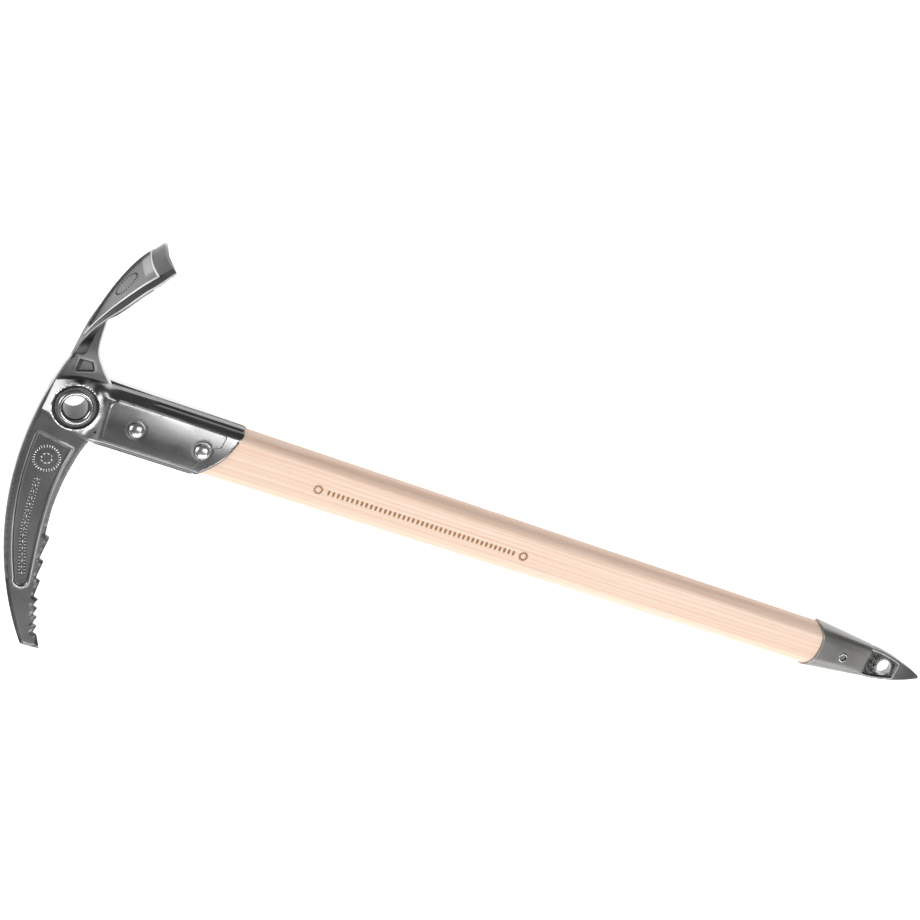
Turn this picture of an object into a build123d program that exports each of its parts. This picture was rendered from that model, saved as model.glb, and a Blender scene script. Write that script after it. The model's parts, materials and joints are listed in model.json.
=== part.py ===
from build123d import *
from math import asin, cos, degrees, pi, sin, sqrt
import os

# Walking ice axe with a wooden shaft.
# Everything is drawn in the axe's own frame: X runs down the shaft from head to spike, Y points to
# the adze, Z comes out of the flat of the blade, and the origin is on the axis of the carabiner eye,
# half way through the blade. At the end the whole axe is turned the few degrees that it takes to lie
# on level ground, on an adze corner, the pick's point and the ferrule. Millimetres throughout.

# Overall
overall_length = 660.0   # back edge of the head to the point of the spike
back_edge = 18.8         # eye axis to the back edge of the head
fit_gap = 0.05           # between pieces that are riveted or driven up tight
hole_gap = 0.1           # around rivet and pin shanks

# Head forging
blade_thickness = 6.0
point_thickness = 4.2
taper_start_y = -40.0
back_radius = 231.0      # curve of the pick's back
back_apex_y = -33.0      # where that curve stands furthest back
pick_reach = 171.5       # eye axis down to the pick's blunt end
point_x = 38.2
web_top = (17.5, -23.1)
web_upper = (14.5, -34.0)
web_middle = (12.0, -54.0)
web_lower = (11.8, -74.0)
tooth_line_x = 14.1      # the roots of the teeth start here
tooth_line_slope = 0.09
tooth_line_bend = 0.0021
tooth_depth = 3.3
tooth_drop = 1.0
large_tooth_y = (-93.2, -110.3, -124.0)
small_tooth_y = -137.0
small_tooth_pitch = 6.15
small_teeth = 5
recess_depth = 0.8
recess_back_land = 5.5   # rim left between the recess and the pick's back
recess_edge_land = 4.4   # and between the recess and its inner edge
recess_top_y = -25.6
recess_end_y = -127.3
recess_end_r = 5.0
recess_corner = 3.0
stamp_depth = 0.5

# Adze
adze_radius = 176.0      # curve of its top face, seen from the side
adze_root_y = 30.0
adze_root_x = -12.5
adze_reach = 110.8       # eye axis to the cutting edge
adze_width = 69.0
adze_droop = 2.6         # how far the corners of the edge bend towards the shaft
adze_root_thickness = 5.4
adze_thickness = 2.2
adze_edge_thickness = 1.0
adze_panel_border = 7.2
adze_panel_depth = 0.6
neck_foot = (18.2, 18.3)
rib_end_y = 68.0

# Tang of the head, between the cheeks
tang_thickness = 2.4
tang_taper_start = 22.0
tang_taper_end = 60.0
tang_inset = 0.9         # its edges lie this far inside the cheeks' sides
tang_setback = 6.0       # and its end this far inside theirs

# Shaft
shaft_width_head = 37.4
shaft_width_foot = 31.4
shaft_depth_head = 20.6
shaft_depth_foot = 19.6
shaft_corner_head = 7.4
shaft_corner_foot = 8.8
shaft_head_offset = -1.0  # the head end sits a little towards the pick
shaft_start = 24.0
shaft_end_gap = 4.0

# Cheeks, the two pressed shells of the socket
cheek_wall = 1.9
cheek_side_wall = 1.6
cheek_corner = 5.2
cheek_panel = 0.7        # raised panel on the outer face
cheek_foot = 2.0         # thickness of the foot that lies on the blade
socket_long_end = 109.6
socket_short_end = 86.5
boss_skirt = 1.5         # how much further the boss reaches at its foot
boss_height = 13.1

# Carabiner eye
eye_bore_r = 8.0
eye_tube_wall = 1.5
eye_lip_reach = 1.9      # each lip beyond the tube
eye_lip_height = 1.8
washer_reach = 1.8       # the washer beyond the lip
washer_thickness = 1.0
counterbore_gap = 1.6    # around the washer
counterbore_floor = 11.6
boss_rim = 1.1           # land around the counterbore

# Rivets through cheeks, shaft and tang
rivet_shank_r = 3.0
rivet_head_r = 5.3
rivet_head_height = 3.2
rivet_y = -1.6
rivet_x = (41.4, 86.4)

# Ferrule
ferrule_length = 47.0
ferrule_wall = 1.4
ferrule_scallop = 5.0    # how far the rim curves back on the broad faces
ferrule_end_width = 24.4
ferrule_end_depth = 10.4
ferrule_end_corner = 4.4
ferrule_end_wall = 3.0
pin_x_from_rim = 26.0
pin_y = -1.2
pin_r = 3.4
pin_hole_r = 2.1
pin_head_height = 0.8

# Spike
spike_length = 45.2      # beyond the ferrule
spike_thickness = 7.0
spike_point_thickness = 3.6
spike_base_width = 22.4
spike_waist_width = 16.4
spike_waist = 22.0       # from the ferrule
spike_point_r = 1.6
spike_eye_r = 5.4
spike_eye_from_base = 15.4
spike_pocket_depth = 1.3
spike_pocket_land = 2.0
spike_pocket_length = 25.5
spike_tang_width = 12.0
spike_tang_thickness = 4.0
spike_tang_length = 34.0

# How it lies on level ground
rest_roll = 6.605
rest_pitch = 1.141

# Derived places
half_blade = blade_thickness / 2
back_centre_x = back_radius - back_edge - (back_radius - sqrt(back_radius**2 - back_apex_y**2))
spike_point_x = overall_length - back_edge
ferrule_end = spike_point_x - spike_length
ferrule_rim = ferrule_end - ferrule_length
spike_eye_x = ferrule_end + spike_eye_from_base
pin_x = ferrule_rim + pin_x_from_rim
shaft_end = ferrule_end - ferrule_end_wall - shaft_end_gap
cheek_top_z = shaft_depth_head / 2 + fit_gap + cheek_wall
upper_side = shaft_head_offset + shaft_width_head / 2 + fit_gap + cheek_side_wall
lower_side = shaft_head_offset - shaft_width_head / 2 - fit_gap - cheek_side_wall
washer_top = counterbore_floor + washer_thickness + 2 * fit_gap
eye_tube_r = eye_bore_r + eye_tube_wall
eye_lip_r = eye_tube_r + eye_lip_reach
washer_r = eye_lip_r + washer_reach
counterbore_r = washer_r + counterbore_gap
boss_r = counterbore_r + boss_rim
eye_half_length = washer_top + fit_gap + eye_lip_height
large_z = 60.0


def prism(curves, low, high):
    edges = [edge for curve in curves for edge in curve.edges()]
    face = Face(Wire(edges))
    return Pos(0, 0, low) * extrude(face, amount=high - low, dir=(0, 0, 1))


def side_prism(points, width):
    """A shape drawn in the XZ plane, as long as width across Y."""
    face = Face(Wire(Polyline(*[(x, 0, z) for x, z in points], close=True).edges()))
    return Pos(0, -width / 2, 0) * extrude(face, amount=width, dir=(0, 1, 0))


def rod(x, y, radius, low, high):
    return Pos(x, y, (low + high) / 2) * Cylinder(radius, high - low)


def back_x(y, inset=0.0):
    return back_centre_x - sqrt((back_radius - inset) ** 2 - (y - back_apex_y) ** 2)


def root_x(y):
    down = large_tooth_y[0] - y
    return tooth_line_x + tooth_line_slope * down + tooth_line_bend * down**2


def tooth_points():
    """Roots and tips of the teeth, from the top of the pick to its point."""
    roots = list(large_tooth_y) + [small_tooth_y - small_tooth_pitch * i for i in range(small_teeth)]
    points = []
    for y in roots:
        points.append((root_x(y), y))
        points.append((root_x(y) + tooth_depth, y - tooth_drop))
    return points


def blade_outline():
    heel = (back_x(-pick_reach), -pick_reach)
    shoulder = (-back_edge, 0)
    crown = (back_x(back_apex_y), back_apex_y)
    nape = (-9.7, adze_root_y + 12)
    rib_end = (-1.6, rib_end_y)
    under_adze = (-0.4, rib_end_y)
    teeth = tooth_points()
    return [
        ThreePointArc(heel, crown, shoulder),
        Spline(shoulder, (-15.2, 20.0), (-12.2, adze_root_y), nape),
        Line(nape, rib_end),
        Line(rib_end, under_adze),
        Spline(under_adze, (0.9, 58.6), (2.9, 38.6), (9.4, 27.8), neck_foot),
        Line(neck_foot, web_top),
        Spline(web_top, web_upper, web_middle, web_lower, teeth[0]),
        Polyline(*teeth, (point_x, -pick_reach), heel),
    ]


def taper_envelope():
    """The blade thins towards the pick's point."""
    half_point = point_thickness / 2
    far_y = -pick_reach - 20
    run = (far_y - taper_start_y) / (-pick_reach - taper_start_y)
    far_half = half_blade + (half_point - half_blade) * run
    points = [
        (0, 130, half_blade),
        (0, taper_start_y, half_blade),
        (0, far_y, far_half),
        (0, far_y, -far_half),
        (0, taper_start_y, -half_blade),
        (0, 130, -half_blade),
    ]
    face = Face(Wire(Polyline(*points, close=True).edges()))
    return Pos(-60, 0, 0) * extrude(face, amount=140, dir=(1, 0, 0))


def recess_outline():
    end_y = recess_end_y
    back_end_x = back_x(end_y, recess_back_land)
    end_x = back_end_x + recess_end_r
    near = recess_edge_land
    top_back = (back_x(recess_top_y, recess_back_land), recess_top_y)
    top_edge = (web_upper[0] - near + 1.8, recess_top_y - 4.4)
    bottom = (end_x + recess_end_r, end_y)
    mid_y = (recess_top_y + end_y) / 2
    return [
        ThreePointArc((back_end_x, end_y), (back_x(mid_y, recess_back_land), mid_y), top_back),
        Line(top_back, top_edge),
        Spline(
            top_edge,
            (web_middle[0] - near + 0.5, -47.0),
            (web_middle[0] - near + 0.4, -68.0),
            (root_x(large_tooth_y[0]) - near, large_tooth_y[0]),
            bottom,
        ),
        ThreePointArc(bottom, (end_x, end_y - recess_end_r), (back_end_x, end_y)),
    ]


def pick_recess():
    tool = prism(recess_outline(), 0, 10)
    corners = tool.edges().filter_by(Axis.Z).sort_by(Axis.Y)[-2:]
    tool = fillet(corners, recess_corner)
    front = Pos(0, 0, half_blade - recess_depth) * tool
    return front + mirror(front, about=Plane.XY)


def neck_stamp():
    points = [(-7.2, 19.8), (-7.0, 28.6), (1.4, 28.9), (4.2, 24.1)]
    tool = prism(Polyline(*points, close=True).edges(), 0, 10)
    tool = fillet(tool.edges().filter_by(Axis.Z), 0.8)
    front = Pos(0, 0, half_blade - stamp_depth) * tool
    return front + mirror(front, about=Plane.XY)


def adze_point(t, inset=0.0):
    """A place on the adze's centre curve, inset towards its underside."""
    turn = asin((adze_root_y - 6.6) / adze_radius) + adze_turn_total() * t
    r = adze_radius - inset
    return (adze_centre()[0] - r * cos(turn), adze_centre()[1] + r * sin(turn))


def adze_centre():
    rise = adze_root_y - 6.6
    return (adze_root_x + sqrt(adze_radius**2 - rise**2), 6.6)


def adze_turn_total():
    first = asin((adze_root_y - 6.6) / adze_radius)
    last = asin((adze_reach - 6.6) / adze_radius)
    return last - first


def adze_half_width(t):
    grown = sin(t * pi / 2) ** 1.25
    return half_blade + (adze_width / 2 - half_blade) * grown


def adze_section(t, half_width, top, bottom):
    """A strip across the adze: top and bottom are depths below its top face."""
    droop = 0.03 + adze_droop * (half_width / (adze_width / 2)) ** 2 * t
    edges = []
    lines = []
    for depth in (top, bottom):
        middle = adze_point(t, depth)
        side = adze_point(t, depth + droop)
        left = (side[0], side[1], -half_width)
        right = (side[0], side[1], half_width)
        lines.append([left, (middle[0], middle[1], 0), right])
    outer, inner = lines
    edges.append(ThreePointArc(*outer))
    edges.append(Line(outer[2], inner[2]))
    edges.append(ThreePointArc(*inner[::-1]))
    edges.append(Line(inner[0], outer[0]))
    return Wire([line.edge() for line in edges])


def adze_sheet_thickness(t):
    if t < 0.4:
        return adze_root_thickness + (adze_thickness - adze_root_thickness) * t / 0.4
    if t < 0.85:
        return adze_thickness
    return adze_thickness + (adze_edge_thickness - adze_thickness) * (t - 0.85) / 0.15


def adze():
    stations = [0.0, 0.12, 0.25, 0.4, 0.55, 0.7, 0.85, 1.0]
    sections = [adze_section(t, adze_half_width(t), 0, adze_sheet_thickness(t)) for t in stations]
    return Part() + Solid.make_loft(sections)


def adze_panel():
    """The shallow field in the adze's top face."""
    sections = []
    for t in (0.30, 0.45, 0.60, 0.75, 0.88):
        sections.append(adze_section(t, adze_half_width(t) - adze_panel_border, -2, adze_panel_depth))
    return Part() + Solid.make_loft(sections)


def socket_outline(inset=0.0, setback=0.0):
    """Plan of the socket block, from the boss to the slanting end."""
    top = upper_side - inset
    low = lower_side + inset
    long_end = socket_long_end - setback
    short_end = socket_short_end - setback
    return [
        Line((0, low + 4.6), (0, top - 3.4)),
        Spline((0, top - 3.4), (9, top - 1.2), (24, top), tangents=[(1, 0.3), (1, 0)]),
        Line((24, top), (long_end, top)),
        Spline(
            (long_end, top),
            (long_end - 1.6, 12.8),
            (long_end - 7.2, -2.7),
            (long_end - 17.8, -15.4),
            (short_end, low),
        ),
        Line((short_end, low), (20, low)),
        Spline((20, low), (8, low + 1.0), (0, low + 4.6), tangents=[(-1, 0), (-1, 0.5)]),
    ]


def tang():
    body = prism(socket_outline(tang_inset, tang_setback), -half_blade, half_blade)
    return body & side_prism(tang_profile(0.0), 80)


def tang_profile(grow):
    thick = half_blade + grow
    thin = tang_thickness / 2 + grow
    far = socket_long_end + 20
    return [
        (-60, thick),
        (tang_taper_start, thick),
        (tang_taper_end, thin),
        (far, thin),
        (far, -thin),
        (tang_taper_end, -thin),
        (tang_taper_start, -thick),
        (-60, -thick),
    ]


def head_blade():
    plate = prism(blade_outline(), -half_blade, half_blade)
    plate = plate & taper_envelope()
    head = plate + tang() + adze()
    head = head - pick_recess() - neck_stamp() - adze_panel()
    head = head - rod(0, 0, eye_tube_r + fit_gap, -large_z, large_z)
    for x in rivet_x:
        head = head - rod(x, rivet_y, rivet_shank_r + hole_gap, -large_z, large_z)
    return head


def shaft_section(x, width, depth, corner, grow=0.0, offset=0.0):
    plane = Plane(origin=(x, offset, 0), x_dir=(0, 1, 0), z_dir=(1, 0, 0))
    return plane * RectangleRounded(width + 2 * grow, depth + 2 * grow, corner + grow)


def shaft_envelope(grow=0.0):
    """The wood before slots and holes, made fatter by grow for the hollows that it fills."""
    head_end = shaft_section(
        shaft_start - grow, shaft_width_head, shaft_depth_head, shaft_corner_head, grow, shaft_head_offset
    )
    foot_end = shaft_section(ferrule_rim, shaft_width_foot, shaft_depth_foot, shaft_corner_foot, grow)
    body = loft([head_end, foot_end])
    fraction = (shaft_end + grow - ferrule_rim) / ferrule_length
    width = shaft_width_foot + (ferrule_end_width - 2 * ferrule_wall - shaft_width_foot) * fraction
    depth = shaft_depth_foot + (ferrule_end_depth - 2 * ferrule_wall - shaft_depth_foot) * fraction
    corner = shaft_corner_foot + (ferrule_end_corner - ferrule_wall - shaft_corner_foot) * fraction
    tip_end = shaft_section(shaft_end + grow, width, depth, corner, grow)
    nose = loft([foot_end, tip_end])
    return body + nose


def shaft():
    wood = shaft_envelope()
    plan = socket_outline(tang_inset - fit_gap, tang_setback - fit_gap)
    slot = prism(plan, -half_blade - fit_gap, half_blade + fit_gap)
    slot = slot & side_prism(tang_profile(fit_gap), 80)
    wood = wood - slot - spike_tang(fit_gap)
    for x in rivet_x:
        wood = wood - rod(x, rivet_y, rivet_shank_r + hole_gap, -large_z, large_z)
    return wood - rod(pin_x, pin_y, pin_r + hole_gap, -large_z, large_z)


def cheek_foot_outline():
    return [
        Line((-18.2, -10.2), (-17.4, 0.6)),
        Line((-17.4, 0.6), (-16.4, 10.7)),
        Spline((-16.4, 10.7), (-10.6, 14.4), (-3.4, 17.5), (6.1, 18.8), (20.0, 19.2)),
        Line((20.0, 19.2), (20.0, -20.4)),
        Spline((20.0, -20.4), (4.6, -19.8), (-1.8, -17.8), (-10.0, -14.0), (-18.2, -10.2)),
    ]


def cheek_raised_panel():
    points = [
        (20.1, 9.4),
        (23.6, 13.9),
        (98.6, 13.4),
        (97.4, 3.2),
        (89.1, 3.0),
        (84.6, -14.8),
        (22.4, -14.8),
    ]
    panel = prism(Polyline(*points, close=True).edges(), cheek_top_z - 0.5, cheek_top_z + cheek_panel)
    upright = panel.edges().filter_by(Axis.Z)
    panel = fillet(upright, 2.0)
    return chamfer(panel.faces().sort_by(Axis.Z)[-1].edges(), 0.35)


def socket_block():
    block = prism(socket_outline(), 0, cheek_top_z)
    rim = block.faces().sort_by(Axis.Z)[-1].edges()
    sides = [e for e in rim if abs(e.center().Y) > 14 and abs(e.tangent_at(0.5).X) > 0.8]
    return fillet(sides, cheek_corner)


def front_cheek():
    skirt_r = boss_r + boss_skirt
    boss = Pos(0, 0, boss_height / 2) * Cone(skirt_r, boss_r, boss_height)
    foot = prism(cheek_foot_outline(), 0, half_blade + fit_gap + cheek_foot)
    shell = socket_block() + boss + foot + cheek_raised_panel()
    shell = shell - shaft_envelope(fit_gap)
    shell = shell - side_prism(tang_profile(fit_gap), 80)
    shell = shell - rod(0, 0, counterbore_r, counterbore_floor, large_z)
    shell = shell - rod(0, 0, eye_tube_r + fit_gap, -large_z, large_z)
    for x in rivet_x:
        shell = shell - rod(x, rivet_y, rivet_shank_r + hole_gap, -large_z, large_z)
    return shell


def eye_tube():
    half = eye_half_length
    tube = Cylinder(eye_tube_r, 2 * half)
    for z in (half - eye_lip_height / 2, eye_lip_height / 2 - half):
        tube = tube + Pos(0, 0, z) * Cylinder(eye_lip_r, eye_lip_height)
    tube = tube - Cylinder(eye_bore_r, 2 * half + 2)
    rims = tube.edges().filter_by(GeomType.CIRCLE)
    outer = [e for e in rims if abs(e.radius - eye_lip_r) < 0.01 and abs(abs(e.center().Z) - half) < 0.01]
    inner = [e for e in rims if abs(e.radius - eye_bore_r) < 0.01]
    tube = fillet(outer, 1.2)
    inner = [e for e in tube.edges().filter_by(GeomType.CIRCLE) if abs(e.radius - eye_bore_r) < 0.01]
    return fillet(inner, 1.6)


def eye_washer():
    low = counterbore_floor + fit_gap
    ring = rod(0, 0, washer_r, low, low + washer_thickness)
    ring = ring - rod(0, 0, eye_tube_r + fit_gap, 0, large_z)
    return chamfer(ring.edges().filter_by(GeomType.CIRCLE).sort_by(Axis.Z)[-2:], 0.25)


def rivet(x):
    """A shank with a low dome formed over each end."""
    seat = cheek_top_z + cheek_panel + fit_gap
    pin = rod(x, rivet_y, rivet_shank_r, -seat - 1, seat + 1)
    ball_r = (rivet_head_r**2 + rivet_head_height**2) / (2 * rivet_head_height)
    dome = Pos(x, rivet_y, seat + rivet_head_height - ball_r) * Sphere(ball_r)
    dome = dome & rod(x, rivet_y, rivet_head_r, seat, seat + rivet_head_height + 1)
    return pin + dome + mirror(dome, about=Plane.XY)


def ferrule():
    wall = ferrule_wall + fit_gap
    rim = shaft_section(ferrule_rim, shaft_width_foot, shaft_depth_foot, shaft_corner_foot, wall)
    end = shaft_section(ferrule_end, ferrule_end_width, ferrule_end_depth, ferrule_end_corner)
    body = loft([rim, end])
    scallop_r = ((shaft_width_foot / 2) ** 2 + ferrule_scallop**2) / (2 * ferrule_scallop)
    body = body - rod(ferrule_rim + ferrule_scallop - scallop_r, 0, scallop_r, -large_z, large_z)
    body = body - shaft_envelope(fit_gap)
    body = body - spike_tang(fit_gap)
    return body - rod(pin_x, pin_y, pin_r + hole_gap, -large_z, large_z)


def spike_tang(grow):
    length = spike_tang_length + 2 + grow
    tang_box = Box(length, spike_tang_width + 2 * grow, spike_tang_thickness + 2 * grow)
    return Pos(ferrule_end - spike_tang_length - grow + length / 2, 0, 0) * tang_box


def spike():
    start = ferrule_end + fit_gap
    base = spike_base_width / 2
    waist = spike_waist_width / 2
    waist_x = ferrule_end + spike_waist
    point = spike_point_x
    plan = [
        (start, -base),
        (start + 7, -base),
        (waist_x, -waist),
        (point - 8, -spike_point_r - 2.6),
        (point, -spike_point_r * 0.4),
        (point, spike_point_r * 0.4),
        (point - 8, spike_point_r + 2.6),
        (waist_x, waist),
        (start + 7, base),
        (start, base),
    ]
    half = spike_thickness / 2
    half_point = spike_point_thickness / 2
    body = prism(Polyline(*plan, close=True).edges(), -half, half)
    flat_end = start + spike_pocket_length
    side = [
        (start - 5, half),
        (flat_end, half),
        (point + 1, half_point),
        (point + 1, -half_point),
        (flat_end, -half),
        (start - 5, -half),
    ]
    body = body & side_prism(side, 60)
    land = spike_pocket_land
    floor = half - spike_pocket_depth
    pocket_end = start + spike_pocket_length - land
    pocket = [
        (start + land, -base + land),
        (start + 7, -base + land),
        (waist_x, -waist + land),
        (pocket_end, -waist + land + 1.2),
        (pocket_end, waist - land - 1.2),
        (waist_x, waist - land),
        (start + 7, base - land),
        (start + land, base - land),
    ]
    tool = prism(Polyline(*pocket, close=True).edges(), floor, floor + 10)
    body = body - tool - mirror(tool, about=Plane.XY)
    collar = rod(spike_eye_x, 0, spike_eye_r + 1.3, -half, half)
    body = body + collar + spike_tang(0)
    body = body - rod(spike_eye_x, 0, spike_eye_r, -large_z, large_z)
    return body - rod(pin_x, pin_y, pin_r + hole_gap, -large_z, large_z)


def ferrule_pin():
    fraction = (pin_x - ferrule_rim) / ferrule_length
    wide = shaft_depth_foot / 2 + fit_gap + ferrule_wall
    surface = wide + (ferrule_end_depth / 2 - wide) * fraction
    top = surface + pin_head_height
    pin = rod(pin_x, pin_y, pin_r, -top, top)
    return pin - rod(pin_x, pin_y, pin_hole_r, -top - 1, top + 1)


def main():
    pieces = {
        "head_blade": head_blade(),
        "front_cheek": front_cheek(),
        "back_cheek": mirror(front_cheek(), about=Plane.XY),
        "eye_tube": eye_tube(),
        "eye_washer_front": eye_washer(),
        "eye_washer_back": mirror(eye_washer(), about=Plane.XY),
        "shaft": shaft(),
        "upper_rivet": rivet(rivet_x[0]),
        "lower_rivet": rivet(rivet_x[1]),
        "ferrule": ferrule(),
        "ferrule_pin": ferrule_pin(),
        "spike": spike(),
    }
    resting = Rot(0, rest_pitch, 0) * Rot(rest_roll, 0, 0)
    os.makedirs("parts", exist_ok=True)
    for name, shape in pieces.items():
        solids = (resting * shape).solids()
        print(name, len(solids), round(shape.volume / 1000, 2), "cm3", shape.is_valid)
        solid = solids[0]
        solid.label = name
        export_step(solid, f"parts/{name}.step")


main()
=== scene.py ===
import json
import math

import bmesh
import bpy
import numpy as np
from mathutils import Matrix, Vector, geometry


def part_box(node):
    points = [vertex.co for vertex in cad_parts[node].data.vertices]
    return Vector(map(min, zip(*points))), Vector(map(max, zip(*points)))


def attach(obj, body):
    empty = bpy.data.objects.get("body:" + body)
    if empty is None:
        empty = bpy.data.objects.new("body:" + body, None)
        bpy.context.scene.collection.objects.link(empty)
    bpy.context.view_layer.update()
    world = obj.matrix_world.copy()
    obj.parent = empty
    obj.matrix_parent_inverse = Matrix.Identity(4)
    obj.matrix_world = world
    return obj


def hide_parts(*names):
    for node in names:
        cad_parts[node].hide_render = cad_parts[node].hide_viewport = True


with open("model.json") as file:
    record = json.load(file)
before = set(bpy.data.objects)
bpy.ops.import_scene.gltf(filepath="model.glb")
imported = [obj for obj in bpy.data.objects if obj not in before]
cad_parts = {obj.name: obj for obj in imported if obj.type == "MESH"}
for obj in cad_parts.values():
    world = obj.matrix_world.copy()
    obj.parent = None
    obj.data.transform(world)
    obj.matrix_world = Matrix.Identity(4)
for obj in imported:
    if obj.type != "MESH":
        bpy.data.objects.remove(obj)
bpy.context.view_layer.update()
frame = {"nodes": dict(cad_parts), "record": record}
record = frame["record"]

# Shapes are drawn in the axe's own millimetres: x down the shaft, y to the adze, z out of the blade
mounts = {m["name"]: m for m in record["mounts"]}
eyeAxis = Vector(mounts["head_eye"]["axis"])
roll = -math.asin(eyeAxis.y)
pitch = math.atan2(eyeAxis.x, eyeAxis.z)
resting = Matrix.Rotation(pitch, 3, "Y") @ Matrix.Rotation(roll, 3, "X")
restRows = np.array(resting)
spikeEye = resting.transposed() @ Vector(mounts["spike_eye"]["pos_m"]) * 1000
eyeR = mounts["head_eye"]["dims"]["r_mm"]
spikeEyeR = mounts["spike_eye"]["dims"]["r_mm"]


def toRow(points):
    return (np.asarray(points, float) @ restRows.T) / 1000


def fromRow(points):
    return np.asarray(points, float) @ restRows * 1000


def smooth(x, low, high):
    t = np.clip((np.asarray(x, float) - low) / (high - low), 0, 1)
    return t * t * (3 - 2 * t)


# Even samples along a smooth curve through the points
def curveThrough(points, count):
    p = np.asarray(points, float)
    p = np.vstack([2 * p[0] - p[1], p, 2 * p[-1] - p[-2]])
    out = []
    for i in range(1, len(p) - 2):
        a, b, c, d = p[i - 1 : i + 3]
        t = np.linspace(0, 1, 40, endpoint=False)[:, None]
        square, cube = 2 * a - 5 * b + 4 * c - d, 3 * b - a - 3 * c + d
        out.append(0.5 * (2 * b + (c - a) * t + square * t**2 + cube * t**3))
    dense = np.vstack(out + [p[-2:-1]])
    steps = np.concatenate([[0], np.cumsum(np.linalg.norm(np.diff(dense, axis=0), axis=1))])
    at = np.linspace(0, steps[-1], count)
    return np.column_stack([np.interp(at, steps, dense[:, k]) for k in range(p.shape[1])])


def lineTo(a, b, count):
    t = np.linspace(0, 1, count)[:, None]
    return np.asarray(a, float) * (1 - t) + np.asarray(b, float) * t


def circle(cx, cy, r, count):
    a = np.linspace(0, 2 * math.pi, count, endpoint=False)
    return np.column_stack([cx + r * np.cos(a), cy + r * np.sin(a)])


def loopOf(*runs):
    points = np.vstack(runs)
    keep = [0]
    for i in range(1, len(points)):
        if np.linalg.norm(points[i] - points[keep[-1]]) > 0.02:
            keep.append(i)
    if np.linalg.norm(points[keep[-1]] - points[keep[0]]) < 0.02:
        keep.pop()
    return points[keep]


# How far each point is from a path
def distanceTo(points, path, closed=True):
    a = np.asarray(path, float)
    b = np.roll(a, -1, axis=0) if closed else a[1:]
    a = a if closed else a[:-1]
    best = np.full(len(points), 1e9)
    for start in range(0, len(points), 2000):
        p = points[start : start + 2000, None, :]
        d = (b - a)[None]
        t = np.clip(((p - a) * d).sum(2) / np.maximum((d * d).sum(2), 1e-12), 0, 1)
        near = a + t[..., None] * d
        best[start : start + 2000] = np.sqrt(((p - near) ** 2).sum(2)).min(1)
    return best


def insideOf(points, path):
    x, y = points[:, 0], points[:, 1]
    a = np.asarray(path, float)
    b = np.roll(a, -1, axis=0)
    inside = np.zeros(len(points), bool)
    for (x0, y0), (x1, y1) in zip(a, b):
        crosses = (y0 > y) != (y1 > y)
        if y1 != y0:
            inside ^= crosses & (x < (x1 - x0) * (y - y0) / (y1 - y0) + x0)
    return inside


def addMesh(name, points, faces, angle=32):
    mesh = bpy.data.meshes.new(name)
    mesh.from_pydata(toRow(points).tolist(), [], [tuple(int(i) for i in f) for f in faces])
    tidy = bmesh.new()
    tidy.from_mesh(mesh)
    bmesh.ops.remove_doubles(tidy, verts=tidy.verts, dist=1e-6)
    bmesh.ops.recalc_face_normals(tidy, faces=tidy.faces)
    if tidy.calc_volume(signed=True) < 0:
        bmesh.ops.reverse_faces(tidy, faces=tidy.faces)
    tidy.to_mesh(mesh)
    tidy.free()
    mesh.polygons.foreach_set("use_smooth", [True] * len(mesh.polygons))
    mesh.set_sharp_from_angle(angle=math.radians(angle))
    obj = bpy.data.objects.new(name, mesh)
    bpy.context.scene.collection.objects.link(obj)
    return obj


# Stores painted shade and painted highlights on the metal at each point: 1 is darkest, -1 brightest
def shadeBy(obj, shadeOf):
    flat = np.zeros(len(obj.data.vertices) * 3)
    obj.data.vertices.foreach_get("co", flat)
    shade = obj.data.attributes.new("shade", "FLOAT", "POINT")
    shade.data.foreach_set("value", np.asarray(shadeOf(fromRow(flat.reshape(-1, 3))), float))
    return obj


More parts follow.
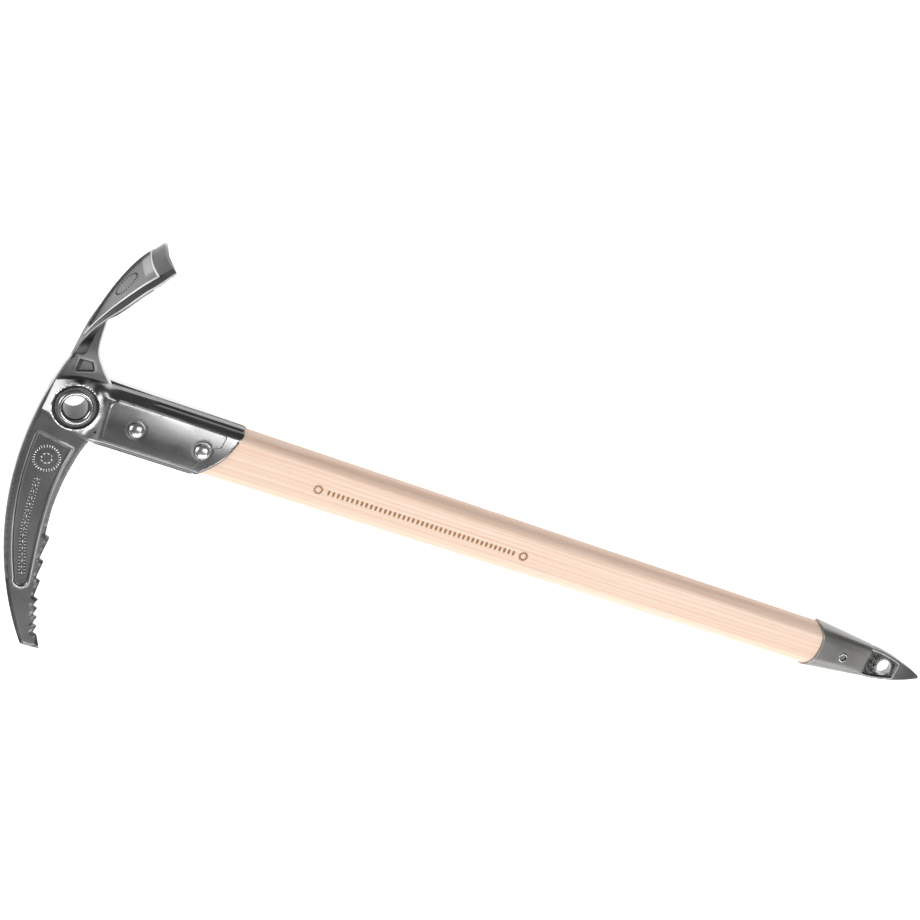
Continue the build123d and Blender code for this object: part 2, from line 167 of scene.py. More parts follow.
# A closed piece with a top and a bottom surface drawn over one flat outline
def reliefPiece(name, outer, holes, guides, spacing, topOf, bottomOf, angle=32):
    outer = np.asarray(outer, float)
    loops = [outer] + [np.asarray(h, float) for h in holes]
    low, high = outer.min(0), outer.max(0)
    xs = np.arange(low[0], high[0], spacing)
    ys = np.arange(low[1], high[1], spacing * 0.87)
    gx, gy = np.meshgrid(xs, ys)
    gx = gx + (np.arange(len(ys)) % 2)[:, None] * spacing * 0.5
    field = np.column_stack([gx.ravel(), gy.ravel()])
    free = []
    for path, offsets, closed in guides:
        path = np.asarray(path, float)
        ahead = np.roll(path, -1, axis=0) - np.roll(path, 1, axis=0) if closed else np.gradient(path, axis=0)
        normal = np.column_stack([-ahead[:, 1], ahead[:, 0]])
        normal /= np.maximum(np.linalg.norm(normal, axis=1), 1e-9)[:, None]
        for offset in offsets:
            ring = path + normal * offset
            true = distanceTo(ring, path, closed)
            free.append(ring[true > abs(offset) * 0.93 - 1e-6])
    ringPoints = np.vstack(free) if free else np.zeros((0, 2))
    if len(ringPoints):
        kept = insideOf(ringPoints, outer)
        for h in loops[1:]:
            kept &= ~insideOf(ringPoints, h)
        for path in loops:
            kept &= distanceTo(ringPoints, path) > 0.06
        ringPoints = ringPoints[kept]
    kept = insideOf(field, outer)
    for h in loops[1:]:
        kept &= ~insideOf(field, h)
    field = field[kept]
    for path in loops:
        field = field[distanceTo(field, path) > spacing * 0.5]
    for path, offsets, closed in guides:
        reach = max(abs(o) for o in offsets)
        field = field[distanceTo(field, path, closed) > reach + spacing * 0.3]
    flat = np.vstack(loops + [ringPoints, field])
    edges = []
    start = 0
    for path in loops:
        n = len(path)
        edges += [(start + i, start + (i + 1) % n) for i in range(n)]
        start += n
    result = geometry.delaunay_2d_cdt([Vector(p) for p in flat], edges, [], 0, 1e-5)
    flat = np.array([tuple(v) for v in result[0]])
    faces = np.array([f for f in result[2] if len(f) == 3])
    middle = flat[faces].mean(1)
    kept = insideOf(middle, outer)
    for h in loops[1:]:
        kept &= ~insideOf(middle, h)
    faces = faces[kept]
    a, b, c = flat[faces[:, 0]], flat[faces[:, 1]], flat[faces[:, 2]]
    area = (b[:, 0] - a[:, 0]) * (c[:, 1] - a[:, 1]) - (b[:, 1] - a[:, 1]) * (c[:, 0] - a[:, 0])
    faces[area < 0] = faces[area < 0][:, ::-1]
    top = np.column_stack([flat, topOf(flat)])
    bottom = np.column_stack([flat, bottomOf(flat)])
    n = len(flat)
    directed = {}
    for f in faces:
        for i in range(3):
            directed[(int(f[i]), int(f[(i + 1) % 3]))] = True  # an edge used once lies on the outline
    walls = []
    for i, j in directed:
        if (j, i) not in directed:
            walls.append((j, i, i + n, j + n))
    allFaces = [tuple(f) for f in faces] + [tuple(f[::-1] + n) for f in faces] + walls
    return addMesh(name, np.vstack([top, bottom]), allFaces, angle)


# A closed ring or solid turned about an axis along z through centre
def turned(name, profile, centre, count=96, angle=40):
    profile = np.asarray(profile, float)
    onAxis = profile[:, 0] < 1e-6
    points = []
    faces = []
    a = np.linspace(0, 2 * math.pi, count, endpoint=False)
    index = []
    for (r, z), single in zip(profile, onAxis):
        if single:
            index.append([len(points)] * count)
            points.append((centre[0], centre[1], z))
        else:
            index.append(list(range(len(points), len(points) + count)))
            points += [(centre[0] + r * math.cos(t), centre[1] + r * math.sin(t), z) for t in a]
    closedLoop = not onAxis.any()
    last = len(profile) if closedLoop else len(profile) - 1
    for k in range(last):
        one, two = index[k], index[(k + 1) % len(profile)]
        for i in range(count):
            j = (i + 1) % count
            corner = [one[i], one[j], two[j], two[i]]
            corner = [c for n, c in enumerate(corner) if c not in corner[:n]]
            if len(corner) > 2:
                faces.append(corner)
    return addMesh(name, points, faces, angle)


# A closed skin over a row of rings with the same number of points
def lofted(name, rings, angle=40, closedEnds=True):
    rings = [np.asarray(r, float) for r in rings]
    n = len(rings[0])
    points = np.vstack(rings)
    faces = []
    for k in range(len(rings) - 1):
        for i in range(n):
            j = (i + 1) % n
            faces.append((k * n + i, k * n + j, (k + 1) * n + j, (k + 1) * n + i))
    if closedEnds:
        centres = np.vstack([rings[0].mean(0), rings[-1].mean(0)])
        base = len(points)
        points = np.vstack([points, centres])
        for i in range(n):
            j = (i + 1) % n
            faces.append((base, j, i))
            faces.append((base + 1, (len(rings) - 1) * n + i, (len(rings) - 1) * n + j))
    return addMesh(name, points, faces, angle)


# The same piece on the axe's other face
def mirrored(obj, name):
    flat = np.zeros(len(obj.data.vertices) * 3)
    obj.data.vertices.foreach_get("co", flat)
    points = fromRow(flat.reshape(-1, 3)) * (1, 1, -1)
    faces = [tuple(reversed(p.vertices)) for p in obj.data.polygons]
    return addMesh(name, points, faces)


# Head: pick, eye plate and neck in one flat forging, and the adze that flares out of it
blade = {
    "half": 3.0,
    "pointHalf": 2.1,
    "backCentre": (209.83, -33.0),
    "backRadius": 231.0,
    "edgeRound": 0.55,
    "toothRoots": [-93.2, -110.3, -124.0] + [-137.0 - 6.15 * i for i in range(5)],
    "toothDepth": 3.3,
    "toothDrop": 1.0,
    "rootLine": (14.1, 0.09, 0.0021),  # where the roots start, their slope and their bend
    "tip": (38.2, -171.5),
    "grind": 0.55,  # bevel along the back near the point
    "toothBevel": 0.75,
    "neckBevel": 1.7,
    "recessDepth": 0.85,
    "recessWall": 0.9,
    "recessInset": 5.5,
    "recessTop": -25.6,
    "stampDepth": 0.75,
    "eyeWall": 1.55,
}


def backX(y, inset=0.0):
    cx, cy = blade["backCentre"]
    return cx - math.sqrt((blade["backRadius"] - inset) ** 2 - (y - cy) ** 2)


def rootX(y):
    start, slope, bend = blade["rootLine"]
    down = blade["toothRoots"][0] - y
    return start + slope * down + bend * down * down


def backRun(y0, y1, count, inset=0.0):
    return np.array([(backX(y, inset), y) for y in np.linspace(y0, y1, count)])


def bladeLoop():
    tipX, tipY = blade["tip"]
    web = curveThrough([(17.5, -23.1), (14.5, -34), (12, -54), (11.8, -74), (rootX(-93.2), -93.2)], 90)
    teeth = []
    for y in blade["toothRoots"]:
        teeth.append((rootX(y), y))
        teeth.append((rootX(y) + blade["toothDepth"], y - blade["toothDrop"]))
    teeth.append((tipX, tipY))
    toothRuns = [lineTo(a, b, max(3, int(math.dist(a, b) / 0.9))) for a, b in zip(teeth, teeth[1:])]
    return loopOf(
        backRun(tipY, 0, 240),
        curveThrough([(-18.8, 0), (-15.2, 20), (-12.3, 30), (-9.5, 42)], 60),
        lineTo((-9.5, 42), (-1.6, 68), 40),
        lineTo((-1.6, 68), (-0.4, 68), 4),
        curveThrough([(-0.4, 68), (0.9, 58.6), (2.9, 38.6), (9.4, 27.8), (18.2, 18.3)], 80),
        lineTo((18.2, 18.3), (17.5, -23.1), 40),
        web,
        *toothRuns,
        lineTo((tipX, tipY), (backX(tipY), tipY), 18),
    )


def recessLoop():
    inset, topY, endY = blade["recessInset"], blade["recessTop"], -127.3
    endX = backX(endY, inset) + 5
    a = np.linspace(0, -math.pi, 16)
    end = np.column_stack([endX + 5 * np.cos(a), endY + 5 * np.sin(a)])
    corner = 2.6
    back = backRun(endY, topY - corner, 120, inset)
    top = [(backX(topY, inset), topY), (10.3, -30.0)]
    edge = [(9.6, -32.6), (7.8, -47), (7.5, -68), (rootX(-93.2) - 4.4, -93.2), (endX + 5, endY)]
    edge = curveThrough(edge, 130)
    (leftX, leftY), (rightX, rightY) = top
    left = curveThrough([back[-1], (leftX + 0.7, leftY - 0.5), (leftX + corner, leftY - 0.45)], 10)
    right = curveThrough([(rightX - corner, rightY + 0.45), (rightX - 0.5, rightY - 0.4), edge[0]], 10)
    return loopOf(back, left, lineTo(left[-1], right[0], 24), right, edge, end)


def stampLoop():
    corners = [(-6.6, 19.8), (-7.2, 21.0), (-7.0, 28.6), (1.4, 28.9), (4.2, 24.3), (3.6, 23.2)]
    steps = (4, 10, 12, 8, 4, 14)
    return loopOf(*[lineTo(a, b, n) for a, b, n in zip(corners, corners[1:] + corners[:1], steps)])


bladeOutline = bladeLoop()
recessOutline = recessLoop()
stampOutline = stampLoop()


# Half thickness of the forging at each place of its outline
def bladeHalf(p):
    thin = smooth(-p[:, 1], 30, 172)
    half = blade["half"] + (blade["pointHalf"] - blade["half"]) * thin
    edge = distanceTo(p, bladeOutline)
    r = blade["edgeRound"]
    k = np.clip(edge / r, 0, 1)
    half = half - r * (1 - np.sqrt(np.maximum(1 - (1 - k) ** 2, 0)))
    backEdge = np.hypot(p[:, 0] - blade["backCentre"][0], p[:, 1] - blade["backCentre"][1])
    backEdge = blade["backRadius"] - backEdge
    ground = smooth(-p[:, 1], 95, 125)
    half = half - ground * blade["grind"] * np.clip(1 - backEdge / 3.0, 0, 1)
    toothSide = np.clip(1 - distanceTo(p, innerEdge, False) / 1.6, 0, 1)
    half = half - blade["toothBevel"] * toothSide * smooth(-p[:, 1], 80, 92)
    into = distanceTo(p, recessOutline)
    sign = np.where(insideOf(p, recessOutline), 1, -1)
    step = smooth(into * sign, -0.1, blade["recessWall"])
    half = half - blade["recessDepth"] * step
    lip = np.exp(-(((into * sign) + 0.55) / 0.35) ** 2) * 0.10
    stamp = distanceTo(p, stampOutline) * np.where(insideOf(p, stampOutline), 1, -1)
    raised = 0.12 * np.exp(-(((stamp + 0.5) / 0.4) ** 2))
    half = half - blade["stampDepth"] * smooth(stamp, -0.1, 0.45) + raised
    half = half - blade["neckBevel"] * np.clip(1 - distanceTo(p, neckEdge, False) / 1.3, 0, 1)
    return half + lip


innerEdge = bladeOutline[np.where(bladeOutline[:, 1] < -85)[0]]
innerEdge = innerEdge[innerEdge[:, 0] > np.array([backX(y) + 8 for y in innerEdge[:, 1]])]
neckEdge = curveThrough([(0.9, 58.6), (2.9, 38.6), (9.4, 27.8), (18.2, 18.3)], 60)
eyeHole = circle(0, 0, eyeR + blade["eyeWall"], 96)
bladePiece = reliefPiece(
    "blade",
    bladeOutline,
    [eyeHole],
    [
        (bladeOutline, (0.07, 0.2, 0.55, 1.1), True),
        (neckEdge, (-1.7, -1.3, -0.9, -0.45, 0.45, 0.9, 1.3, 1.7), False),
        (recessOutline, (-1.0, -0.55, -0.1, 0.15, 0.45, 0.75, 0.95), True),
        (stampOutline, (-0.4, -0.1, 0.2, 0.5), True),
    ],
    1.3,
    bladeHalf,
    lambda p: -bladeHalf(p),
)


# Painted highlights along the recess lip, the neck bevel, the back edge, round the stamp and on the neck;
# painted shade inside the stamp's outline
def bladeShade(p):
    flat = p[:, :2]
    into = distanceTo(flat, recessOutline) * np.where(insideOf(flat, recessOutline), 1, -1)
    lip = np.exp(-(((into + 0.45) / 0.35) ** 2))
    backSide = np.clip((blade["backCentre"][0] - p[:, 0]) - 218, 0, 4) / 4 * (p[:, 1] > -118)
    shade = -0.85 * lip * (1 - 0.6 * backSide) * (p[:, 1] < -28)
    neck = distanceTo(flat, neckEdge, False)
    shade = shade - 0.9 * np.clip(1 - (neck - 1.2) / 0.3, 0, 1)
    stamp = distanceTo(flat, stampOutline) * np.where(insideOf(flat, stampOutline), 1, -1)
    shade = shade + 0.75 * np.exp(-(((stamp - 0.15) / 0.3) ** 2))
    shade = shade - 0.35 * np.exp(-(((stamp + 0.6) / 0.4) ** 2))
    edge = distanceTo(flat, bladeOutline)
    shade = shade - 0.5 * (edge < 0.35) * (p[:, 0] < 0)
    shade = shade - 0.22 * smooth(p[:, 1], 12, 19) * (1 - smooth(p[:, 1], 30, 40))
    return np.clip(shade, -1, 1)


shadeBy(bladePiece, bladeShade)
print("blade", len(bladePiece.data.polygons))

# Adze: t runs from 0 at the neck to 1 at the cutting edge
adzeShape = {
    "centre": (161.94, 6.6),
    "radius": 176.0,
    "start": 8.0,
    "end": 36.0,
    "length": 86,
    "halfWidth": 34.5,
    "rootThick": 8.4,
    "thinning": 6.5,
    "edgeThinning": 0.9,
    "scoop": 0.28,
    "curl": 1.8,
    "hollow": 2.4,  # how far the middle of the cutting edge is drawn back
    "fall": 0.44,
    "border": 6.6,
    "panelFrom": 0.17,
    "panelTo": 0.865,
    "panelDepth": 0.7,
    "rimDepth": 0.42,
    # painted shade on the near and far borders, painted highlights on the rim and the outer edge
    "nearPaintedShade": 0.9,
    "farPaintedShade": 0.4,
    "rimPaintedHighlight": -0.85,
    "edgePaintedHighlight": -0.6,
}


def adzePoint(turn, depth):
    cx, cy = adzeShape["centre"]
    r = adzeShape["radius"] - depth
    return cx - r * np.cos(turn), cy + r * np.sin(turn)


def adzeWidth(t):
    if t < 0:
        return blade["half"] + 3.0 * t
    grown = math.sin(t * math.pi / 2) ** 1.25
    return blade["half"] + (adzeShape["halfWidth"] - blade["half"]) * grown


def adzeBorder(t):
    return adzeWidth(t) - adzeShape["border"] - 1.4 * (1 - t)


# How far the face curves down towards its two sides
def adzeBend(t, z):
    a = adzeShape
    w = adzeWidth(t)
    up = max(t, 0)
    s = z / w
    bend = a["scoop"] * s * s * up + a["curl"] * s * s * smooth(up, 0.72, 1.0)
    fall = a["fall"] * smooth(up, 0.2, 0.6) * (1 - 0.6 * smooth(up, 0.8, 1.0))
    return bend + fall * np.clip(np.abs(z) - (w - min(a["border"], w)), 0, 99)


def adzeTurn(t, z):
    a = adzeShape
    turn = math.radians(a["start"] + (a["end"] - a["start"]) * t)
    return turn + a["hollow"] / a["radius"] * (z / adzeWidth(t)) ** 2 * float(smooth(t, 0.55, 1.0))


# Places across one half of a section, gathered along the panel's rim and the outer edge
def acrossAdze(t):
    w = adzeWidth(t)
    q = min(1.0, w / 14)
    b = max(adzeBorder(t), 0.42 * w)
    rim = b + q * np.array([-1.2, -0.7, -0.45, -0.2, 0.0, 0.15, 0.4, 0.7, 1.05, 1.4])
    edge = w - q * np.array([0.9, 0.45, 0.32, 0.2, 0.1, 0.02])
    middle = np.linspace(0, rim[0], 16)[:-1]
    side = np.linspace(rim[-1], edge[0], 9)[1:-1]
    return np.concatenate([middle, rim, side, edge])


# One closed section across the adze at t, from the neck to the edge
def adzeRing(t):
    a = adzeShape
    w = adzeWidth(t)
    thick = a["rootThick"] - a["thinning"] * float(smooth(t, 0.02, 0.42))
    thick = thick - a["edgeThinning"] * max(0, t - 0.85) / 0.15
    corner = min(0.45, thick * 0.3)
    half = acrossAdze(t)
    z = np.concatenate([-half[:0:-1], half])
    border = adzeBorder(t)
    fall = np.clip(1 - (w - np.abs(z)) / corner, 0, 1)
    rounding = corner * (1 - np.sqrt(np.maximum(1 - fall**2, 0)))
    begun = smooth(t, a["panelFrom"], a["panelFrom"] + 0.06)
    ends = begun * (1 - smooth(t, a["panelTo"], a["panelTo"] + 0.02))
    rimEnds = begun * (1 - smooth(t, a["panelTo"] + 0.03, a["panelTo"] + 0.05))
    inside = border - np.abs(z)
    shown = float(border > 0)
    panel = smooth(inside, -0.15, 0.7) * ends * shown
    rim = smooth(inside, -1.4, -0.7) * rimEnds * (1 - panel) * shown
    bend = adzeBend(t, z)
    top = bend + rounding + a["panelDepth"] * panel - a["rimDepth"] * rim
    bottom = bend + thick - rounding
    turn = adzeTurn(t, z)
    topX, topY = adzePoint(turn, top)
    lowX, lowY = adzePoint(turn, bottom)
    ring = np.column_stack([topX, topY, z])
    # near the neck the underside is as narrow as the plate it grows out of
    narrow = blade["half"] - 0.1 + max(0, w - blade["half"]) * float(smooth(t, 0.08, 0.5))
    lowZ = z * min(1.0, narrow / w)
    low = np.column_stack([lowX, lowY, lowZ])
    steps = (0.1, 0.22, 0.5, 0.78)
    nearSide = [ring[-1] + (low[-1] - ring[-1]) * k for k in steps]
    farSide = [low[0] + (ring[0] - low[0]) * (1 - k) for k in steps[::-1]]
    return np.vstack([ring, nearSide, low[::-1], farSide])


stations = [*np.linspace(-0.14, 0.84, 110), *np.linspace(0.845, 0.93, 30), *np.linspace(0.94, 1, 12)]
adzePiece = lofted("adzeSheet", [adzeRing(t) for t in stations], 30)


# Painted light on the adze: a lighter polished panel, a painted highlight on its rim and outer edge, painted
# shade on the borders, the underside and a corner at the edge, and a painted reflection running light to
# dark over the end
def adzeShade(p):
    a = adzeShape
    cx, cy = a["centre"]
    away = np.arctan2(p[:, 1] - cy, cx - p[:, 0])
    shade = np.zeros(len(p))
    for i, (turn, z) in enumerate(zip(away, p[:, 2])):
        t = (math.degrees(turn) - a["start"]) / (a["end"] - a["start"])
        hollow = a["hollow"] / a["radius"] * (z / adzeWidth(t)) ** 2 * float(smooth(t, 0.55, 1.0))
        t -= hollow * 57.3 / (a["end"] - a["start"])
        border = adzeBorder(t)
        depth = a["radius"] - math.hypot(p[i, 0] - cx, p[i, 1] - cy)
        depth -= float(adzeBend(t, np.array([z]))[0])
        # painted shade on the underside where it grows out of the neck
        if depth > 0.55 and t < 0.8:
            shade[i] = 0.9 * float(smooth(t, -0.1, 0.0)) * float(1 - smooth(t, 0.3, 0.5))
            continue
        if t < 0.1:
            continue
        inside = min(border - abs(z), (a["panelTo"] + 0.01 - t) * a["length"], (t - a["panelFrom"]) * 60)
        level = a["nearPaintedShade"] if z > 0 else a["farPaintedShade"]
        # past the panel a painted reflection, light at the far corner and dark towards the near side
        if t > a["panelTo"] + 0.02:
            level = -1.0 + 2.0 * float(smooth(z, -34, -10))
        if inside > 0:
            corner = float(smooth(z / max(border, 1), 0.2, 0.9)) * float(smooth(t, 0.66, 0.84))
            level = -0.35 + 0.75 * corner
        elif inside > -1.3 and z > -border:
            level = a["rimPaintedHighlight"]
        if adzeWidth(t) - abs(z) < 0.7:
            level = a["edgePaintedHighlight"]
        shade[i] = level * float(smooth(t, 0.1, 0.2))
    return shade


shadeBy(adzePiece, adzeShade)
print("adze", len(adzePiece.data.polygons))

# The two pressed cheeks of the socket
cheek = {
    "foot": 5.05,
    "top": 12.25,
    "panel": 0.75,
    "upper": 19.35,
    "lower": -21.35,
    "longEnd": 109.6,
    "shortEnd": 86.5,
    "rimTop": 13.15,
    "ringInner": 14.75,
    "ringOuter": 15.9,
    "floor": 11.6,
    "rivets": [(41.4, -1.6), (86.4, -1.6)],
    "rivetHole": 3.1,
    "rivetSeat": 5.9,
    "dot": (17.2, -11.8),
    "endBevel": 1.15,
}
cheekCrease = curveThrough([(-18.2, -10.2), (-17.4, 0.6), (-16.4, 10.7)], 26)
cheekUpper = loopOf(
    curveThrough([(-16.4, 10.7), (-10.6, 14.4), (-3.4, 17.3), (6.1, 18.8), (16, 19.1), (26, 19.35)], 60),
    lineTo((26, cheek["upper"]), (cheek["longEnd"], cheek["upper"]), 80),
)
cheekUpper = np.vstack([cheekUpper, [(cheek["longEnd"], cheek["upper"])]])
cheekEnd = curveThrough([(109.6, 19.35), (108.2, 12.8), (102.4, -2.7), (92.6, -15.4), (86.5, -21.35)], 60)
cheekLower = loopOf(
    lineTo((cheek["shortEnd"], cheek["lower"]), (22, cheek["lower"]), 60),
    curveThrough([(22, -21.35), (10, -20.6), (-1.8, -17.8), (-10, -14.0), (-18.2, -10.2)], 50),
)
cheekLower = np.vstack([cheekLower, [(-18.2, -10.2)]])
cheekOutline = loopOf(cheekCrease, cheekUpper, cheekEnd, cheekLower)


# A closed polygon with its corners rounded
def roundedLoop(corners, radius):
    out = []
    n = len(corners)
    for i in range(n):
        a, b, c = (np.array(corners[(i + k) % n], float) for k in (-1, 0, 1))
        u = (a - b) / np.linalg.norm(a - b)
        v = (c - b) / np.linalg.norm(c - b)
        cut = min(radius, np.linalg.norm(a - b) * 0.45, np.linalg.norm(c - b) * 0.45)
        p, q = b + u * cut, b + v * cut
        t = np.linspace(0, 1, 7)[:, None]
        out.append((1 - t) ** 2 * p + 2 * t * (1 - t) * b + t * t * q)
        following = np.array(corners[(i + 2) % n], float)
        w = (following - c) / np.linalg.norm(following - c)
        nextCut = min(radius, np.linalg.norm(b - c) * 0.45, np.linalg.norm(following - c) * 0.45)
        out.append(lineTo(q, c - v * nextCut, max(2, int(np.linalg.norm(c - q)))))
    return loopOf(*out)


cheekPanel = roundedLoop(
    [(20.3, 9.2), (23.6, 13.6), (98.8, 12.9), (97.2, 3.2), (91.6, 3.0), (84.8, -15.2), (22.4, -15.6)], 2.4
)


tangShape = {"half": 3.05, "thinning": 1.8, "from": 22, "over": 38, "gap": 0.06}


def tangFace(x):
    along = np.clip((x - tangShape["from"]) / tangShape["over"], 0, 1)
    return tangShape["half"] - tangShape["thinning"] * along


def cheekTop(p):
    x, y = p[:, 0], p[:, 1]
    upper = distanceTo(p, cheekUpper, False)
    lower = distanceTo(p, cheekLower, False)
    block = smooth(x, 12, 24)
    # the upper side rolls over in one wide curve, the lower one ends in a narrow flange
    k = 1 - np.clip(upper / 4.2, 0, 1)
    rounded = cheek["foot"] + (cheek["top"] - cheek["foot"]) * np.sqrt(np.maximum(1 - k * k, 0))
    slope = 5.5 + 1.06 * upper - 3.0 * (1 - np.clip(upper / 0.9, 0, 1)) ** 2
    blend = np.clip(0.5 + (cheek["top"] - slope) / 1.6, 0, 1)
    rolled = cheek["top"] * (1 - blend) + slope * blend - 0.8 * blend * (1 - blend)
    upperZ = rounded * (1 - block) + rolled * block
    base = cheek["foot"] + 2.6 * block
    k = 1 - np.clip((lower - 1.5 * block) / (3.8 - 0.3 * block), 0, 1)
    lowerZ = base + (cheek["top"] - base) * np.sqrt(np.maximum(1 - k * k, 0))
    flange = 0.3 * np.exp(-(((lower - 0.7) / 0.4) ** 2)) - 0.45 * np.exp(-(((lower - 1.55) / 0.3) ** 2))
    lowerZ = lowerZ + block * flange
    lowerZ = lowerZ - 0.6 * block * (1 - np.clip(lower / 0.6, 0, 1)) ** 2
    z = np.where(y > 0, upperZ, lowerZ)
    crown = 0.0036 * (y + 8.0) ** 2 * smooth(x, 22, 75) + 0.0016 * (y + 2.0) ** 2 * smooth(x, 18, 30)
    z = z - np.minimum(crown, 1.9)
    crease = distanceTo(p, cheekCrease, False)
    out = np.maximum(np.hypot(x, y) - cheek["ringOuter"], 0)
    side = np.minimum(np.minimum(upper, lower), crease)
    # round the eye the metal falls from the rim to the nearest edge
    around = cheek["foot"] + (cheek["rimTop"] - 0.5 - cheek["foot"]) * (side / (side + out + 1e-6)) ** 0.85
    z = z + (around - z) * (1 - smooth(x, 3, 17))
    groove = 0.28 * np.exp(-(((x - 19.6 + 0.05 * y) / 0.9) ** 2))
    z = z - groove * smooth(y, -17, -13) * (1 - smooth(y, 9, 13))
    panel = distanceTo(p, cheekPanel) * np.where(insideOf(p, cheekPanel), 1, -1)
    z = z + cheek["panel"] * smooth(panel, -0.15, 0.65)
    r = np.hypot(x, y)
    land = r - (cheek["ringInner"] + cheek["ringOuter"]) / 2
    rim = cheek["rimTop"] - 0.5 * np.clip(np.abs(land) / 0.57, 0, 1) ** 2.2
    skirt = cheek["rimTop"] - 0.5 - 2.4 * np.clip(r - cheek["ringOuter"], 0, 9)
    wall = smooth(r, cheek["ringInner"] - 0.25, cheek["ringInner"] - 0.05)
    z = np.where(r < cheek["ringOuter"], rim, np.maximum(z, skirt))
    wallZ = cheek["floor"] + (cheek["rimTop"] - 0.5 - cheek["floor"]) * wall
    z = np.where(r < cheek["ringInner"], wallZ, z)
    for cx, cy in cheek["rivets"]:
        q = np.hypot(x - cx, y - cy)
        z = z - 0.2 * np.exp(-(((q - 5.8) / 0.4) ** 2))
    dot = np.hypot(x - cheek["dot"][0], y - cheek["dot"][1])
    z = z - 0.7 * smooth(0.95 - dot, 0, 0.35)
    ending = distanceTo(p, cheekEnd, False)
    return z - cheek["endBevel"] * (1 - np.clip(ending / 1.3, 0, 1)) ** 1.4


def cheekShade(p):
    x, y = p[:, 0], p[:, 1]
    r = np.hypot(x, y)
    # painted shade along the rolled side, over the lower half of the panel and along the flange
    shade = 0.55 * smooth(y, 13.0, 14.2) * (1 - smooth(y, 18.2, 18.7)) * smooth(x, 12, 22)
    reach = -1.0 + 6.0 * (1 - smooth(x, 25, 70))
    lowerHalf = (1 - smooth(y, reach - 9, reach + 4)) * smooth(x, 18, 24) * (1 - smooth(x, 92, 106))
    shade = shade + 0.62 * lowerHalf
    shade = shade + 0.45 * np.exp(-(((y + 19.75) / 0.55) ** 2)) * smooth(x, 18, 24)
    # painted shade above the eye, painted highlights at the crease end and beside the groove
    shade = shade + 0.5 * smooth(y, 9, 14) * (1 - smooth(x, 10, 16)) * smooth(x, -14, -6)
    shade = shade - 0.6 * (1 - smooth(x, -15, -8))
    shade = shade - 0.25 * smooth(x, 8, 14) * (1 - smooth(x, 17, 19)) * smooth(y, -10, -4)
    # painted highlight on the ring's rim and painted shade inside it
    shade = np.where((r > cheek["ringInner"] - 0.02) & (r < cheek["ringOuter"] + 0.15), -1.0, shade)
    shade = np.where(r < cheek["ringInner"] - 0.02, 0.8, shade)
    # painted shade over a spot right of the ring
    shade = shade + 0.8 * np.exp(-((x - 15.5) ** 2 + (y - 10.5) ** 2) / 14.0)
    dot = np.hypot(x - cheek["dot"][0], y - cheek["dot"][1])
    # painted shade in the small dimple
    return np.where(dot < 0.9, 1.0, shade)


# Height of the wood's surface inside the socket
def woodTop(x, y):
    half, corner, high, offset = 18.75, 7.45, 10.36, -1.0
    away = np.abs(y - offset)
    off = away - (half - corner)
    drop = corner - np.sqrt(np.maximum(corner**2 - np.clip(off, 0, corner) ** 2, 0))
    return np.where((away < half) & (x > 24), high - drop, -1)


def cheekBottom(p):
    return np.maximum(tangFace(p[:, 0]), woodTop(p[:, 0], p[:, 1]))


rivetHoles = [circle(cx, cy, cheek["rivetHole"], 36) for cx, cy in cheek["rivets"]]
ringOffsets = (-0.3, -0.05, 0.05, 0.25, 0.45, 0.65, 0.85, 1.05, 1.2, 1.5, 1.9)
seatOffsets = (-0.5, 0, 0.5, 0.9, 1.4)
seatGuides = [(circle(cx, cy, cheek["rivetSeat"], 44), seatOffsets, True) for cx, cy in cheek["rivets"]]
cheekFront = reliefPiece(
    "cheekFront",
    cheekOutline,
    [eyeHole] + rivetHoles,
    [
        (cheekUpper, (-0.07, -0.2, -0.4, -0.7, -1.1, -1.6, -2.2, -2.9, -3.7, -4.6, -5.6), False),
        (cheekLower, (-0.07, -0.25, -0.5, -0.8, -1.1, -1.35, -1.6, -1.85, -2.2, -2.7, -3.4, -4.3), False),
        (cheekCrease, (-0.12, -0.5, -1.0, -1.5, -1.9), False),
        (cheekEnd, (-0.12, -0.4, -0.8, -1.3), False),
        (cheekPanel, (-0.7, -0.35, -0.15, 0.05, 0.2, 0.5), True),
        (circle(0, 0, cheek["ringInner"], 130), ringOffsets, True),
        *seatGuides,
        (circle(*cheek["dot"], 0.7, 16), (-0.3, 0, 0.3), True),
    ],
    1.15,
    cheekTop,
    cheekBottom,
)
cheekBack = mirrored(cheekFront, "cheekBack")
shadeBy(cheekFront, cheekShade)
shadeBy(cheekBack, cheekShade)
tangOutline = loopOf(
    lineTo((19, 18.4), (103.5, 18.4), 40),
    curveThrough([(103.5, 18.4), (102.2, 12.8), (96.4, -2.7), (86.6, -15.4), (81.0, -20.3)], 30),
    lineTo((81.0, -20.3), (19, -20.0), 30),
)
tangPiece = reliefPiece(
    "tangSlab",
    tangOutline,
    rivetHoles,
    [],
    4.0,
    lambda p: tangFace(p[:, 0]) - tangShape["gap"],
    lambda p: tangShape["gap"] - tangFace(p[:, 0]),
)
print("cheeks", len(cheekFront.data.polygons))

# Carabiner eye
eyeShape = {
    "half": 14.35,
    "wall": 9.5,
    "lip": [(11.2, 12.6), (11.4, 12.8), (11.4, 13.3), (11.25, 13.75), (10.9, 14.1), (10.45, 14.3)],
    "mouth": [(9.6, 14.3), (9.1, 14.1), (8.6, 13.7), (8.25, 13.1), (8.06, 12.4), (8.0, 11.6)],
    "washer": [(9.56, 11.65), (13.0, 11.65), (13.2, 11.8), (13.2, 12.35), (12.95, 12.62), (9.56, 12.62)],
}
lip = [(eyeShape["wall"], 12.6), *eyeShape["lip"], (10.0, eyeShape["half"]), *eyeShape["mouth"]]
tubeProfile = lip + [(r, -z) for r, z in lip[::-1]]
eyeTube = turned("eyeTube", tubeProfile, (0, 0), 128, 50)


